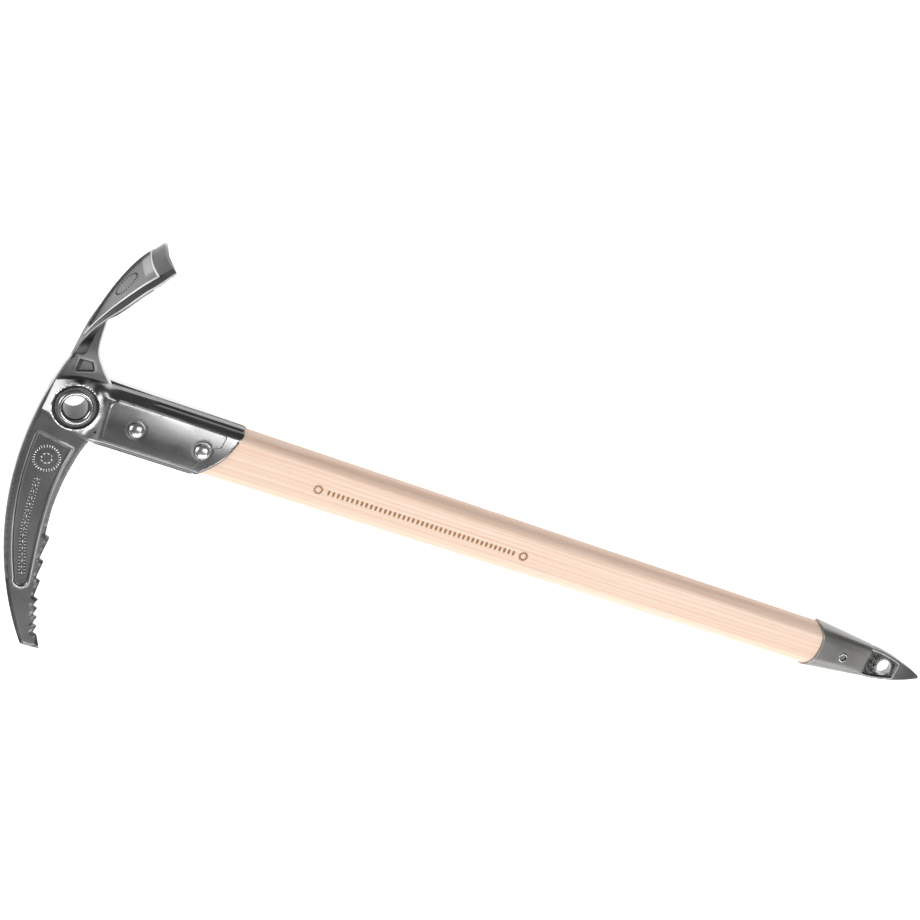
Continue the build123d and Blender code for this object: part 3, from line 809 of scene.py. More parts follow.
# Painted shade inside the bore and a slight painted highlight on the rest of the tube
def eyeShade(p):
    bore = (np.hypot(p[:, 0], p[:, 1]) < 8.5) & (np.abs(p[:, 2]) < 13.0)
    return np.where(bore, 1.0, -0.1)


shadeBy(eyeTube, eyeShade)
washerFront = turned("washerFront", eyeShape["washer"], (0, 0), 128)
washerBack = turned("washerBack", [(r, -z) for r, z in eyeShape["washer"]], (0, 0), 128)

# Rivets
rivetShape = {"seat": 13.02, "height": 3.1, "radius": 5.25, "shank": 3.0}


def rivetProfile():
    seat, h, r = rivetShape["seat"], rivetShape["height"], rivetShape["radius"]
    a = np.linspace(0, math.pi / 2, 14)
    dome = [(r * math.sin(t) ** 0.92, seat + 0.45 + (h - 0.45) * math.cos(t)) for t in a]
    dome += [(r, seat + 0.1), (r - 0.15, seat), (rivetShape["shank"], seat)]
    return dome + [(q, -z) for q, z in dome[::-1]]


rivetUpper = turned("rivetUpper", rivetProfile(), cheek["rivets"][0], 72, 50)
rivetLower = turned("rivetLower", rivetProfile(), cheek["rivets"][1], 72, 50)
print("eye and rivets")


# Shaft
shaftShape = {
    "start": 24.0,
    "rim": 549.0,
    "end": 589.0,
    "head": (37.4, 20.6, 7.4, -1.0),
    "foot": (31.4, 19.6, 8.8, 0.0),
    "tip": (23.0, 9.1, 3.7, 0.0),
}


# Points around a rounded rectangle, evenly spaced along it
def sectionPoints(width, depth, c, offset, count=132):
    w, d = width / 2, depth / 2
    path = []
    for cx, cy, start in ((1, 1, 0), (-1, 1, 90), (-1, -1, 180), (1, -1, 270)):
        for a in np.radians(np.linspace(start, start + 90, 24)):
            path.append((cx * (w - c) + c * math.cos(a), cy * (d - c) + c * math.sin(a)))
    path = np.array(path + path[:1])
    steps = np.concatenate([[0], np.cumsum(np.linalg.norm(np.diff(path, axis=0), axis=1))])
    at = np.linspace(0, steps[-1], count, endpoint=False)
    y = np.interp(at, steps, path[:, 0]) + offset
    return np.column_stack([y, np.interp(at, steps, path[:, 1])])


def between(a, b, t):
    return [p + (q - p) * t for p, q in zip(a, b)]


def sectionAt(x):
    s = shaftShape
    if x < s["rim"]:
        return between(s["head"], s["foot"], (x - s["start"]) / (s["rim"] - s["start"]))
    return between(s["foot"], s["tip"], (x - s["rim"]) / (s["end"] - s["rim"]))


shaftRings = []
long = np.linspace(shaftShape["start"], shaftShape["rim"], 150)
hidden = np.linspace(shaftShape["rim"] + 2, shaftShape["end"], 10)
for x in [*long, *hidden]:
    ring = sectionPoints(*sectionAt(x))
    shaftRings.append(np.column_stack([np.full(len(ring), x), ring]))
shaftPiece = lofted("shaftWood", shaftRings, 40)

# Ferrule, with a rim that curves back on its broad faces
ferruleShape = {
    "rim": 549.0,
    "end": 596.0,
    "scallop": 5.0,
    "scallopR": 27.1,
    "scallopHalf": 16.9,
    "wall": 1.35,
    "wide": (34.3, 22.5, 10.25, 0.0),
    "narrow": (24.4, 10.4, 4.4, 0.0),
}


def ferruleRing(s, inside):
    f = ferruleShape
    base = sectionPoints(*between(f["wide"], f["narrow"], s))
    wide, narrow = sectionPoints(*f["wide"]), sectionPoints(*f["narrow"])
    for settle in range(4):  # the curved rim and the taper depend on each other
        reach = np.clip(base[:, 0], -f["scallopHalf"], f["scallopHalf"])
        start = f["rim"] + f["scallop"] - f["scallopR"]
        start = start + np.sqrt(np.maximum(f["scallopR"] ** 2 - reach**2, 0))
        x = start + (f["end"] - start) * s
        t = (x - f["rim"]) / (f["end"] - f["rim"])
        base = wide + (narrow - wide) * t[:, None]
    if inside:
        size = np.abs(base).max(0)
        base = base * (size - f["wall"]) / size
    return np.column_stack([x, base])


outerSteps = [0, 0.004, 0.012] + list(np.linspace(0.03, 0.985, 40)) + [0.994, 1.0]
ferruleRings = []
for s in outerSteps:
    ring = ferruleRing(s, False)
    rimTrim = 0.35 * max(0, 1 - s / 0.012) ** 2
    trim = rimTrim if s < 0.012 else 0.3 * max(0, (s - 0.985) / 0.015) ** 2
    size = np.abs(ring[:, 1:]).max(0)
    ring[:, 1:] *= (size - trim) / size
    ferruleRings.append(ring)
for s in (0.975, 0.8, 0.6, 0.4, 0.2, 0.006, 0.0):
    ferruleRings.append(ferruleRing(s, True))
ferruleRings.append(ferruleRings[0])
ferrulePiece = lofted("ferruleShell", ferruleRings, 40, False)

# Hollow pin through ferrule and spike
pinShape = {"high": 8.9, "bore": 2.1, "radius": 3.4, "place": (575.0, -1.2)}
high, bore, radius = pinShape["high"], pinShape["bore"], pinShape["radius"]
pinProfile = [(bore, 0.0), (bore, high - 0.5), (2.3, high - 0.12), (2.6, high), (2.9, high)]
pinProfile += [(3.25, high - 0.15), (radius, high - 0.5), (radius, 0.0)]
pinProfile += [(r, -z) for r, z in pinProfile[::-1]][1:-1]
pinPiece = turned("hollowPin", pinProfile, pinShape["place"], 56, 50)


# Painted shade inside the pin's hollow and a painted highlight on the rest of the pin
def pinShade(p):
    r = np.hypot(p[:, 0] - pinShape["place"][0], p[:, 1] - pinShape["place"][1])
    return np.where(r < 2.4, 1.0, -0.4)


shadeBy(pinPiece, pinShade)
print("shaft and ferrule")

# Spike
spikeShape = {"half": 3.5, "pointHalf": 1.7, "pocket": 1.3, "base": 596.05, "baseHalf": 11.2, "point": 641.2}
base, baseHalf = spikeShape["base"], spikeShape["baseHalf"]
spikeSide = [(base, baseHalf), (603, 11.0), (611, 9.8), (618, 8.3), (627, 5.9), (634, 3.8), (640.2, 1.3)]
spikeUpper = curveThrough(spikeSide, 70)
spikeNose = curveThrough([(640.2, 1.3), (spikeShape["point"], 0), (640.2, -1.3)], 8)
spikeBase = lineTo((base, -baseHalf), (base, baseHalf), 24)
spikeOutline = loopOf(spikeUpper, spikeNose, (spikeUpper * (1, -1))[::-1], spikeBase)
pocketUpper = curveThrough([(592.0, 9.4), (602.5, 9.2), (611, 8.0), (618.6, 6.2)], 40)
pocketOutline = loopOf(
    pocketUpper,
    curveThrough([(618.6, 6.2), (620.4, 5.4), (620.9, 3.8)], 6),
    lineTo((620.9, 3.8), (620.9, -3.8), 10),
    curveThrough([(620.9, -3.8), (620.4, -5.4), (618.6, -6.2)], 6),
    (pocketUpper * (1, -1))[::-1],
    lineTo((592.0, -9.4), (592.0, 9.4), 10),
)


# Small bumps, like the floor of a rough casting
def castGrain(p, size):
    x, y = p[:, 0] / size, p[:, 1] / size
    return (
        np.sin(x * 2.1 + 1.3 * np.sin(y * 1.7))
        + np.sin(y * 2.7 + 1.1 * np.sin(x * 2.3 + 0.7))
        + 0.6 * np.sin(x * 4.9 + y * 3.1 + 2.0 * np.sin(y * 2.2))
    )


def spikeHalf(p):
    thin = smooth(p[:, 0], 620, 642)
    half = spikeShape["half"] + (spikeShape["pointHalf"] - spikeShape["half"]) * thin
    edge = distanceTo(p, spikeOutline[:-24], False)
    k = np.clip(edge / 0.6, 0, 1)
    half = half - 0.6 * (1 - np.sqrt(np.maximum(1 - (1 - k) ** 2, 0)))
    into = distanceTo(p, pocketOutline) * np.where(insideOf(p, pocketOutline), 1, -1)
    r = np.hypot(p[:, 0] - spikeEye.x, p[:, 1] - spikeEye.y)
    collar = smooth(6.9 - r, 0, 0.5)
    sink = smooth(into, -0.1, 0.7) * (1 - 0.55 * collar)
    grain = 0.16 * castGrain(p, 0.62) * smooth(into, 0.5, 1.3) * (1 - collar)
    holeRound = 0.35 * (1 - np.clip((r - spikeEyeR) / 0.4, 0, 1)) ** 2
    lip = 0.12 * np.exp(-(((into + 0.5) / 0.3) ** 2))
    return half - spikeShape["pocket"] * sink + grain - holeRound + lip


spikePiece = reliefPiece(
    "spikeBlade",
    spikeOutline,
    [circle(spikeEye.x, spikeEye.y, spikeEyeR, 72)],
    [
        (spikeOutline, (-0.07, -0.25, -0.6), True),
        (pocketOutline, (-0.7, -0.45, -0.1, 0.1, 0.35, 0.7), True),
        (circle(spikeEye.x, spikeEye.y, spikeEyeR, 72), (0.1, 0.25, 0.4, 1.0, 1.25, 1.5), True),
    ],
    0.5,
    spikeHalf,
    lambda p: -spikeHalf(p),
)


# Painted shade on the pocket floor, broken by lighter specks, and painted highlights along the pocket's lip
# and round the eye
def spikeShade(p):
    flat = p[:, :2]
    into = distanceTo(flat, pocketOutline) * np.where(insideOf(flat, pocketOutline), 1, -1)
    r = np.hypot(p[:, 0] - spikeEye.x, p[:, 1] - spikeEye.y)
    collar = smooth(7.1 - r, 0, 0.4)
    grain = np.clip(castGrain(flat, 0.62), -2, 2) / 2
    shade = smooth(into, 0.2, 0.9) * (1 - collar) * (0.8 - 0.75 * np.clip(grain, 0, 1))
    shade = shade + 0.25 * collar * (into > 0)
    brightRim = 0.6 * (r < spikeEyeR + 0.35) * (np.abs(p[:, 2]) > 1.2)
    return shade - 0.6 * np.exp(-(((into + 0.45) / 0.3) ** 2)) - brightRim


shadeBy(spikePiece, spikeShade)
print("spike", len(spikePiece.data.polygons))


# Raised marks that follow a path, each begun from a run of edges
def sampleLine(name, points, closed):
    mesh = bpy.data.meshes.new(name)
    n = len(points)
    edges = [(i, (i + 1) % n) for i in range(n if closed else n - 1)]
    mesh.from_pydata(toRow(points).tolist(), edges, [])
    obj = bpy.data.objects.new(name, mesh)
    bpy.context.scene.collection.objects.link(obj)
    return obj


# The same bead at even steps of a path; Count, Size and Finish are the inputs
def repeatGroup():
    g = bpy.data.node_groups.new("repeatAlong", "GeometryNodeTree")
    g.interface.new_socket("Geometry", in_out="INPUT", socket_type="NodeSocketGeometry")
    g.interface.new_socket("Count", in_out="INPUT", socket_type="NodeSocketInt")
    g.interface.new_socket("Size", in_out="INPUT", socket_type="NodeSocketVector")
    g.interface.new_socket("Finish", in_out="INPUT", socket_type="NodeSocketMaterial")
    g.interface.new_socket("Geometry", in_out="OUTPUT", socket_type="NodeSocketGeometry")
    inside = add(g, "NodeGroupInput")
    outside = add(g, "NodeGroupOutput")
    run = feed(g, add(g, "GeometryNodeMeshToCurve"), Mesh=inside.outputs["Geometry"])
    steps = add(g, "GeometryNodeResampleCurve")
    feed(g, steps, Curve=run.outputs["Curve"], Count=inside.outputs["Count"])
    tangent = add(g, "GeometryNodeInputTangent")
    facing = add(g, "FunctionNodeAlignRotationToVector", axis="X")
    feed(g, facing, Vector=tangent.outputs["Tangent"])
    up = add(g, "FunctionNodeAlignRotationToVector", axis="Z", pivot_axis="X")
    up.inputs["Vector"].default_value = tuple(resting @ Vector((0, 0, 1)))
    feed(g, up, Rotation=facing.outputs["Rotation"])
    bead = add(g, "GeometryNodeMeshIcoSphere")
    bead.inputs["Radius"].default_value = 1.0
    bead.inputs["Subdivisions"].default_value = 3
    placed = add(g, "GeometryNodeInstanceOnPoints")
    feed(g, placed, Points=steps.outputs["Curve"], Instance=bead.outputs["Mesh"])
    feed(g, placed, Rotation=up.outputs["Rotation"], Scale=inside.outputs["Size"])
    real = feed(g, add(g, "GeometryNodeRealizeInstances"), Geometry=placed.outputs["Instances"])
    finished = add(g, "GeometryNodeSetMaterial")
    feed(g, finished, Geometry=real.outputs["Geometry"], Material=inside.outputs["Finish"])
    feed(g, outside, Geometry=finished.outputs["Geometry"])
    return g


def repeatAlong(name, points, closed, count, size, finish):
    base = sampleLine(name + "Path", points, closed)
    change = base.modifiers.new("repeat", "NODES")
    change.node_group = repeatAlongNodes
    values = {"Count": count, "Size": tuple(v / 1000 for v in size), "Finish": finish}
    for item in repeatAlongNodes.interface.items_tree:
        if item.in_out == "INPUT" and item.name in values:
            change[item.identifier] = values[item.name]
    ready = base.evaluated_get(bpy.context.evaluated_depsgraph_get())
    mesh = bpy.data.meshes.new_from_object(ready)
    base.modifiers.clear()
    bpy.data.objects.remove(base)
    mesh.name = name
    mesh.polygons.foreach_set("use_smooth", [True] * len(mesh.polygons))
    obj = bpy.data.objects.new(name, mesh)
    bpy.context.scene.collection.objects.link(obj)
    return obj


# Finishes
def sockets(group, inputs, outputs):
    kinds = {"value": "NodeSocketFloat", "color": "NodeSocketColor", "vector": "NodeSocketVector"}
    for name, kind, default in inputs:
        made = group.interface.new_socket(name, in_out="INPUT", socket_type=kinds[kind])
        made.default_value = default
    for name, kind in outputs:
        group.interface.new_socket(name, in_out="OUTPUT", socket_type=kinds[kind])


def add(tree, kind, **settings):
    node = tree.nodes.new(kind)
    for key, value in settings.items():
        setattr(node, key, value)
    return node


# Sets or links a node's inputs by name, with _ for a space, or by number as n0, n1
def feed(tree, node, **links):
    for key, value in links.items():
        numbered = key[0] == "n" and key[1:].isdigit()
        socket = node.inputs[int(key[1:]) if numbered else key.replace("_", " ")]
        if isinstance(value, bpy.types.NodeSocket):
            tree.links.new(value, socket)
        else:
            socket.default_value = value
    return node


def math2(tree, operation, a, b, clamp=False):
    node = add(tree, "ShaderNodeMath", operation=operation, use_clamp=clamp)
    return feed(tree, node, n0=a, n1=b).outputs[0]


def mixColor(tree, factor, a, b, blend="MIX"):
    node = add(tree, "ShaderNodeMix", data_type="RGBA", blend_type=blend)
    feed(tree, node, n0=factor, n6=a, n7=b)
    return node.outputs[2]


def ranged(tree, value, low, high, toLow, toHigh):
    node = add(tree, "ShaderNodeMapRange", clamp=True)
    feed(tree, node, Value=value, From_Min=low, From_Max=high, To_Min=toLow, To_Max=toHigh)
    return node.outputs[0]


def noiseAt(tree, vector, scale, detail=3.0, rough=0.55):
    node = add(tree, "ShaderNodeTexNoise")
    feed(tree, node, Vector=vector, Scale=scale, Detail=detail, Roughness=rough)
    return node.outputs[0]


# Object coordinates turned back along the axe, in metres
def axePlace(tree, scale=(1, 1, 1)):
    place = add(tree, "ShaderNodeTexCoord")
    turn = add(tree, "ShaderNodeMapping", vector_type="TEXTURE")
    feed(tree, turn, Vector=place.outputs["Object"])
    turn.inputs["Rotation"].default_value = (roll, pitch, 0)
    size = add(tree, "ShaderNodeVectorMath", operation="MULTIPLY")
    feed(tree, size, n0=turn.outputs[0], n1=scale)
    return size.outputs[0]


def steelGroup():
    g = bpy.data.node_groups.new("grainAndPaintedLight", "ShaderNodeTree")
    sockets(
        g,
        [
            ("Tone", "color", (0.2, 0.2, 0.2, 1)),
            ("Roughness", "value", 0.4),
            ("Cloud", "value", 0.15),
            ("Grain", "value", 0.5),
        ],
        [("Color", "color"), ("Roughness", "value"), ("Height", "value")],
    )
    inside = add(g, "NodeGroupInput")
    outside = add(g, "NodeGroupOutput")
    place = axePlace(g)
    cloud = noiseAt(g, place, 38.0, 4.0, 0.6)
    fine = noiseAt(g, place, 900.0, 3.0, 0.7)
    brushed = noiseAt(g, axePlace(g, (0.12, 1.0, 1.0)), 1500.0, 2.0, 0.6)
    specks = ranged(g, noiseAt(g, place, 1400.0, 2.0, 0.5), 0.62, 0.74, 0.0, 1.0)
    cloudy = math2(g, "SUBTRACT", cloud, 0.5)
    swing = math2(g, "MULTIPLY", cloudy, inside.outputs["Cloud"])
    grainy = math2(g, "MULTIPLY", inside.outputs["Grain"], 0.35)
    grainSwing = math2(g, "MULTIPLY", math2(g, "SUBTRACT", fine, 0.5), grainy)
    factor = math2(g, "ADD", math2(g, "ADD", math2(g, "MULTIPLY", swing, 2.0), grainSwing), 1.0)
    level = add(g, "ShaderNodeCombineXYZ")
    feed(g, level, n0=factor, n1=factor, n2=factor)
    # Painted shade and painted highlights: the shade attribute mixes the colour towards near black and
    # towards pale grey
    paintedShade = add(g, "ShaderNodeAttribute", attribute_name="shade").outputs["Fac"]
    color = mixColor(g, 1.0, inside.outputs["Tone"], level.outputs[0], "MULTIPLY")
    color = mixColor(g, ranged(g, paintedShade, 0.0, 1.0, 0.0, 0.82), color, (0.012, 0.012, 0.012, 1))
    color = mixColor(g, ranged(g, paintedShade, -1.0, 0.0, 0.75, 0.0), color, (0.9, 0.9, 0.895, 1))
    feed(g, outside, Color=color)
    rough = math2(g, "ADD", inside.outputs["Roughness"], math2(g, "MULTIPLY", cloudy, 0.22))
    strokes = math2(g, "MULTIPLY", math2(g, "SUBTRACT", brushed, 0.5), 0.12)
    feed(g, outside, Roughness=math2(g, "ADD", rough, strokes, True))
    height = math2(g, "ADD", fine, math2(g, "MULTIPLY", brushed, 0.4))
    height = math2(g, "SUBTRACT", height, math2(g, "MULTIPLY", specks, 0.5))
    feed(g, outside, Height=math2(g, "MULTIPLY", height, inside.outputs["Grain"]))
    return g


grainAndPaintedLight = steelGroup()


def steel(name, tone, rough, cloud=0.15, grain=0.5, bump=0.00004, metal=1.0, extra=None):
    m = bpy.data.materials.new(name)
    m.use_nodes = True
    t = m.node_tree
    shader = t.nodes["Principled BSDF"]
    g = add(t, "ShaderNodeGroup", node_tree=grainAndPaintedLight)
    feed(t, g, Tone=(*tone, 1), Roughness=rough, Cloud=cloud, Grain=grain)
    color, roughness, height = g.outputs["Color"], g.outputs["Roughness"], g.outputs["Height"]
    if extra:
        color, roughness, height = extra(t, color, roughness, height)
    feed(t, shader, Base_Color=color, Roughness=roughness, Metallic=metal)
    lift = add(t, "ShaderNodeBump")
    feed(t, lift, Height=height, Strength=1.0, Distance=bump)
    feed(t, shader, Normal=lift.outputs[0])
    return m


# Small pits and scuffs, thickest along the socket's upper side
def pitted(t, color, roughness, height):
    place = axePlace(t)
    split = add(t, "ShaderNodeSeparateXYZ")
    feed(t, split, n0=place)
    along = ranged(t, split.outputs[1], 0.006, 0.013, 0.0, 1.0)
    ended = ranged(t, split.outputs[1], 0.0145, 0.018, 1.0, 0.0)
    band = math2(t, "MULTIPLY", along, ended)
    clump = ranged(t, noiseAt(t, place, 160.0, 3.0), 0.44, 0.62, 0.0, 1.0)
    dots = ranged(t, noiseAt(t, place, 1150.0, 2.0), 0.55, 0.66, 0.0, 1.0)
    thin = ranged(t, noiseAt(t, place, 700.0, 2.0), 0.72, 0.78, 0.0, 0.35)
    pits = math2(t, "ADD", math2(t, "MULTIPLY", math2(t, "MULTIPLY", dots, clump), band), thin, True)
    color = mixColor(t, math2(t, "MULTIPLY", pits, 0.55), color, (0.05, 0.05, 0.05, 1))
    height = math2(t, "SUBTRACT", height, math2(t, "MULTIPLY", pits, 1.2))
    roughness = math2(t, "ADD", roughness, math2(t, "MULTIPLY", pits, 0.15), True)
    return color, roughness, height


bladeSteel = steel("bladeSteel", (0.135, 0.135, 0.135), 0.38, 0.10, 0.5)
cheekSteel = steel("cheekSteel", (0.27, 0.27, 0.27), 0.30, 0.14, 0.4, 0.000018, extra=pitted)
ringSteel = steel("ringSteel", (0.36, 0.36, 0.36), 0.25, 0.08, 0.3)
rivetSteel = steel("rivetSteel", (0.62, 0.62, 0.61), 0.22, 0.12, 0.5)
ferruleSteel = steel("ferruleSteel", (0.31, 0.305, 0.295), 0.42, 0.08, 0.3, 0.00002)
spikeSteel = steel("spikeSteel", (0.19, 0.19, 0.187), 0.38, 0.18, 0.8, 0.00006)


ash = {
    "ringsPerMetre": 330.0,
    "pale": (0.93, 0.765, 0.64, 1),
    "warm": (0.895, 0.70, 0.57, 1),
    "ring": (0.82, 0.54, 0.39, 1),
    "streak": (0.80, 0.50, 0.35, 1),
    "fibre": (0.80, 0.52, 0.38, 1),
    "pore": (0.50, 0.28, 0.16, 1),
    # painted shade colour for the shaft's narrow sides
    "side": (0.66, 0.45, 0.35, 1),
}


def ashWood():
    m = bpy.data.materials.new("ashWood")
    m.use_nodes = True
    t = m.node_tree
    shader = t.nodes["Principled BSDF"]
    drift = noiseAt(t, axePlace(t, (2.2, 18.0, 18.0)), 1.0, 3.0, 0.5)
    place = axePlace(t)
    split = add(t, "ShaderNodeSeparateXYZ")
    feed(t, split, n0=place)
    across = math2(t, "ADD", split.outputs[1], math2(t, "MULTIPLY", split.outputs[2], 0.45))
    across = math2(t, "ADD", across, math2(t, "MULTIPLY", math2(t, "SUBTRACT", drift, 0.5), 0.010))
    ring = math2(t, "FRACT", math2(t, "MULTIPLY", across, ash["ringsPerMetre"]), 0.0)
    late = ranged(t, ring, 0.35, 0.95, 0.0, 1.0)
    early = ranged(t, ring, 0.95, 1.0, 1.0, 0.0)
    rings = math2(t, "MULTIPLY", late, early)
    streak = noiseAt(t, axePlace(t, (5.0, 900.0, 700.0)), 1.0, 4.0, 0.6)
    fibre = noiseAt(t, axePlace(t, (40.0, 3200.0, 3200.0)), 1.0, 3.0, 0.6)
    wide = noiseAt(t, axePlace(t, (3.0, 130.0, 90.0)), 1.0, 3.0, 0.55)
    pores = noiseAt(t, axePlace(t, (160.0, 4200.0, 4200.0)), 1.0, 1.0, 0.5)
    pores = ranged(t, pores, 0.62, 0.72, 0.0, 1.0)
    pores = math2(t, "MULTIPLY", pores, rings)
    color = mixColor(t, ranged(t, wide, 0.3, 0.7, 0.0, 1.0), ash["pale"], ash["warm"])
    color = mixColor(t, math2(t, "MULTIPLY", rings, 0.45), color, ash["ring"])
    color = mixColor(t, ranged(t, streak, 0.46, 0.66, 0.0, 0.62), color, ash["streak"])
    color = mixColor(t, ranged(t, fibre, 0.40, 0.75, 0.0, 0.22), color, ash["fibre"])
    color = mixColor(t, math2(t, "MULTIPLY", pores, 0.35), color, ash["pore"])
    # Painted shade: the shaft's narrow sides are mixed towards a darker colour
    sides = math2(t, "ABSOLUTE", math2(t, "ADD", split.outputs[1], 0.0008), 0.0)
    color = mixColor(t, ranged(t, sides, 0.0115, 0.0165, 0.0, 0.38), color, ash["side"])
    feed(t, shader, Base_Color=color)
    feed(t, shader, Roughness=ranged(t, fibre, 0.3, 0.7, 0.46, 0.58))
    shader.inputs["Specular IOR Level"].default_value = 0.35
    shader.inputs["Coat Weight"].default_value = 0.08
    shader.inputs["Coat Roughness"].default_value = 0.35
    height = math2(t, "SUBTRACT", math2(t, "MULTIPLY", fibre, 0.7), math2(t, "MULTIPLY", pores, 0.6))
    lift = add(t, "ShaderNodeBump")
    feed(t, lift, Height=height, Strength=1.0, Distance=0.00006)
    feed(t, shader, Normal=lift.outputs[0])
    return m


wood = ashWood()
repeatAlongNodes = repeatGroup()

# Marks: offset or radius in mm, how many beads, and their size
markShape = {
    "pickZ": 2.05,
    "row": [(-4.2, -57.5), (-2.8, -74), (-1.1, -89.6), (2.2, -102.5), (8.6, -122.5)],
    "rowBeads": [(-1.6, 31, (0.42, 0.72, 0.5)), (0.0, 16, (1.15, 0.42, 0.5)), (1.6, 31, (0.42, 0.72, 0.5))],
    "medal": (-3.4, -42.0),
    "medalBeads": [(8.4, 30, (0.5, 1.15, 0.5)), (3.4, 8, (1.0, 0.6, 0.55))],
    "shaftZ": 10.22,
    "shaftRow": [(176, -2.7), (312, -2.7)],
    "shaftRounds": (168.5, 319.5),
    "adzeMedal": (0.635, 0.105, 9.5, -4.0),
}
bright = steel("markSteel", (0.62, 0.62, 0.61), 0.28, 0.1, 0.4)
burnt = bpy.data.materials.new("burntWood")
burnt.use_nodes = True
burntShader = burnt.node_tree.nodes["Principled BSDF"]
burntShader.inputs["Base Color"].default_value = (0.36, 0.18, 0.08, 1)
burntShader.inputs["Roughness"].default_value = 0.8
mid = curveThrough(markShape["row"], 60)
across = np.gradient(mid, axis=0)
across = np.column_stack([-across[:, 1], across[:, 0]]) / np.linalg.norm(across, axis=1)[:, None]
pickMarks = []
for index, (offset, count, size) in enumerate(markShape["rowBeads"]):
    path = mid + across * offset
    path = np.column_stack([path, np.full(len(path), markShape["pickZ"])])
    pickMarks.append(repeatAlong(f"pickRow{index}", path, False, count, size, bright))
for index, (radius, count, size) in enumerate(markShape["medalBeads"]):
    path = circle(*markShape["medal"], radius, 72)
    path = np.column_stack([path, np.full(len(path), markShape["pickZ"])])
    pickMarks.append(repeatAlong(f"pickMedal{index}", path, True, count, size, bright))
shaftZ = markShape["shaftZ"]
first, last = markShape["shaftRow"]
path = lineTo((*first, shaftZ), (*last, shaftZ), 80)
shaftMarks = [repeatAlong("shaftMarks", path, False, 41, (0.85, 1.9, 0.12), burnt)]
for index, x in enumerate(markShape["shaftRounds"]):
    path = np.column_stack([circle(x, first[1], 2.6, 40), np.full(40, shaftZ)])
    shaftMarks.append(repeatAlong(f"shaftRound{index}", path, True, 12, (0.55, 0.9, 0.12), burnt))
medal = []
midT, reachT, reachZ, midZ = markShape["adzeMedal"]
for a in np.linspace(0, 2 * math.pi, 48, endpoint=False):
    t = midT + reachT * math.cos(a)
    z = reachZ * math.sin(a) + midZ
    x, y = adzePoint(adzeTurn(t, z), adzeBend(t, z) + adzeShape["panelDepth"] + 0.05)
    medal.append((x, y, z))
darkSteel = steel("darkMark", (0.03, 0.03, 0.03), 0.45, 0.1, 0.3)
adzeMarks = [repeatAlong("adzeMedal", np.array(medal), True, 26, (0.5, 0.5, 0.5), darkSteel)]
print("marks")

# Which node each piece stands for, and its finish and slot
finishes = [
    ([bladePiece, adzePiece, tangPiece], bladeSteel, "head_steel", "head_blade"),
    (pickMarks, bright, "bright_steel", "head_blade"),
    (adzeMarks, darkSteel, None, "head_blade"),
    ([cheekFront], cheekSteel, "socket_steel", "front_cheek"),
    ([cheekBack], cheekSteel, "socket_steel", "back_cheek"),
    ([eyeTube], ringSteel, "bright_steel", "eye_tube"),
    ([washerFront], ringSteel, "bright_steel", "eye_washer_front"),
    ([washerBack], ringSteel, "bright_steel", "eye_washer_back"),
    ([rivetUpper], rivetSteel, "bright_steel", "upper_rivet"),
    ([rivetLower], rivetSteel, "bright_steel", "lower_rivet"),
    ([shaftPiece], wood, "ash", "shaft"),
    (shaftMarks, burnt, None, "shaft"),
    ([ferrulePiece], ferruleSteel, "ferrule_steel", "ferrule"),
    ([pinPiece], ringSteel, "bright_steel", "ferrule_pin"),
    ([spikePiece], spikeSteel, "spike_steel", "spike"),
]
done = set()
for group, finish, slotName, node in finishes:
    cad = frame["nodes"][node]
    if node not in done:
        cad.data.materials.clear()
        cad.data.materials.append(finish)
        done.add(node)
    for piece in group:
        piece.data.materials.clear()
        piece.data.materials.append(finish)
        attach(piece, "root")
        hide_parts(node)
print("finishes")

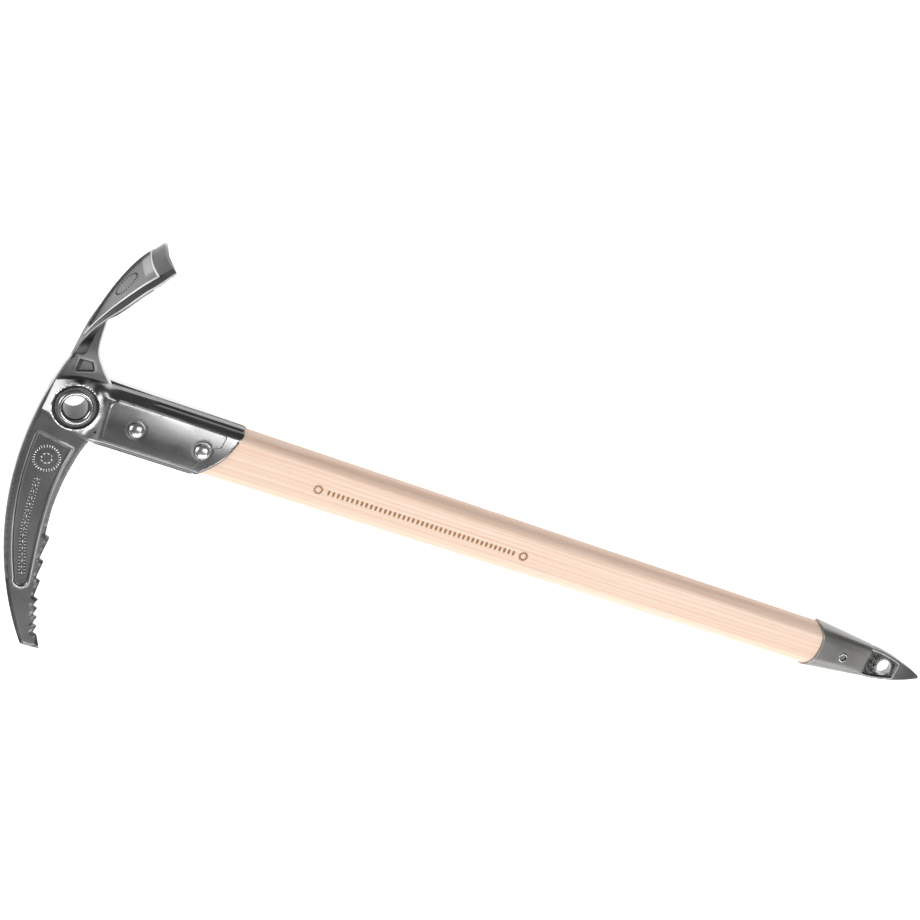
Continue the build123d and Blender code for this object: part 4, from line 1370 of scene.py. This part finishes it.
# Floor, light and camera
studio = {
    "floorX": (-6.7, 7.3),
    "floorY": (-7, 7),
    "floorGlow": 0.74,
    "skyLight": 0.16,
    "cameraPlace": (-249.7, 472.3, 1423.4),
    "lens": 36 * 2360.4 / 920,
}
floorZ = min(low.z for low, high in (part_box(n) for n in frame["nodes"]))
(nearX, farX), (nearY, farY) = studio["floorX"], studio["floorY"]
corners = [(nearX, nearY, floorZ), (farX, nearY, floorZ), (farX, farY, floorZ), (nearX, farY, floorZ)]
floorMesh = bpy.data.meshes.new("floor")
floorMesh.from_pydata(corners, [], [(0, 1, 2, 3)])
floor = bpy.data.objects.new("floor", floorMesh)
bpy.context.scene.collection.objects.link(floor)
paper = bpy.data.materials.new("paper")
paper.use_nodes = True
paperShader = paper.node_tree.nodes["Principled BSDF"]
paperShader.inputs["Base Color"].default_value = (0.93, 0.93, 0.93, 1)
paperShader.inputs["Roughness"].default_value = 0.9
paperShader.inputs["Specular IOR Level"].default_value = 0.1
paperShader.inputs["Emission Color"].default_value = (1, 1, 1, 1)
paperShader.inputs["Emission Strength"].default_value = studio["floorGlow"]
floorMesh.materials.append(paper)

world = bpy.data.worlds.new("studio")
bpy.context.scene.world = world
world.use_nodes = True
world.node_tree.nodes["Background"].inputs["Color"].default_value = (1, 1, 1, 1)
world.node_tree.nodes["Background"].inputs["Strength"].default_value = studio["skyLight"]


def softbox(name, place, target, width, height, power):
    data = bpy.data.lights.new(name, "AREA")
    data.shape = "RECTANGLE"
    data.size = width
    data.size_y = height
    data.energy = power
    box = bpy.data.objects.new(name, data)
    box.location = place
    box.rotation_euler = (Vector(target) - Vector(place)).to_track_quat("-Z", "Y").to_euler()
    bpy.context.scene.collection.objects.link(box)
    return box


softbox("leftBox", (-1.7, -0.2, 1.0), (0.1, 0, 0), 1.2, 1.0, 22)
softbox("frontBox", (0.9, -1.7, 1.2), (0.3, 0, 0), 2.2, 0.9, 34)
softbox("topBox", (0.85, 0.02, 1.85), (0.1, 0, 0), 0.62, 0.9, 14)

seenFrom = resting @ Vector(studio["cameraPlace"]) / 1000
lookX = (resting @ Vector((0.8973, 0.3941, 0.1987))).normalized()
lookY = resting @ Vector((-0.3033, 0.8777, -0.3710))
lookZ = lookX.cross(lookY).normalized()
lookY = lookZ.cross(lookX)
cameraData = bpy.data.cameras.new("camera")
cameraData.sensor_width = 36
cameraData.lens = studio["lens"]
camera = bpy.data.objects.new("camera", cameraData)
camera.matrix_world = Matrix.Translation(seenFrom) @ Matrix((lookX, lookY, lookZ)).transposed().to_4x4()
bpy.context.scene.collection.objects.link(camera)
bpy.context.scene.camera = camera
bpy.context.scene.view_settings.view_transform = "Standard"
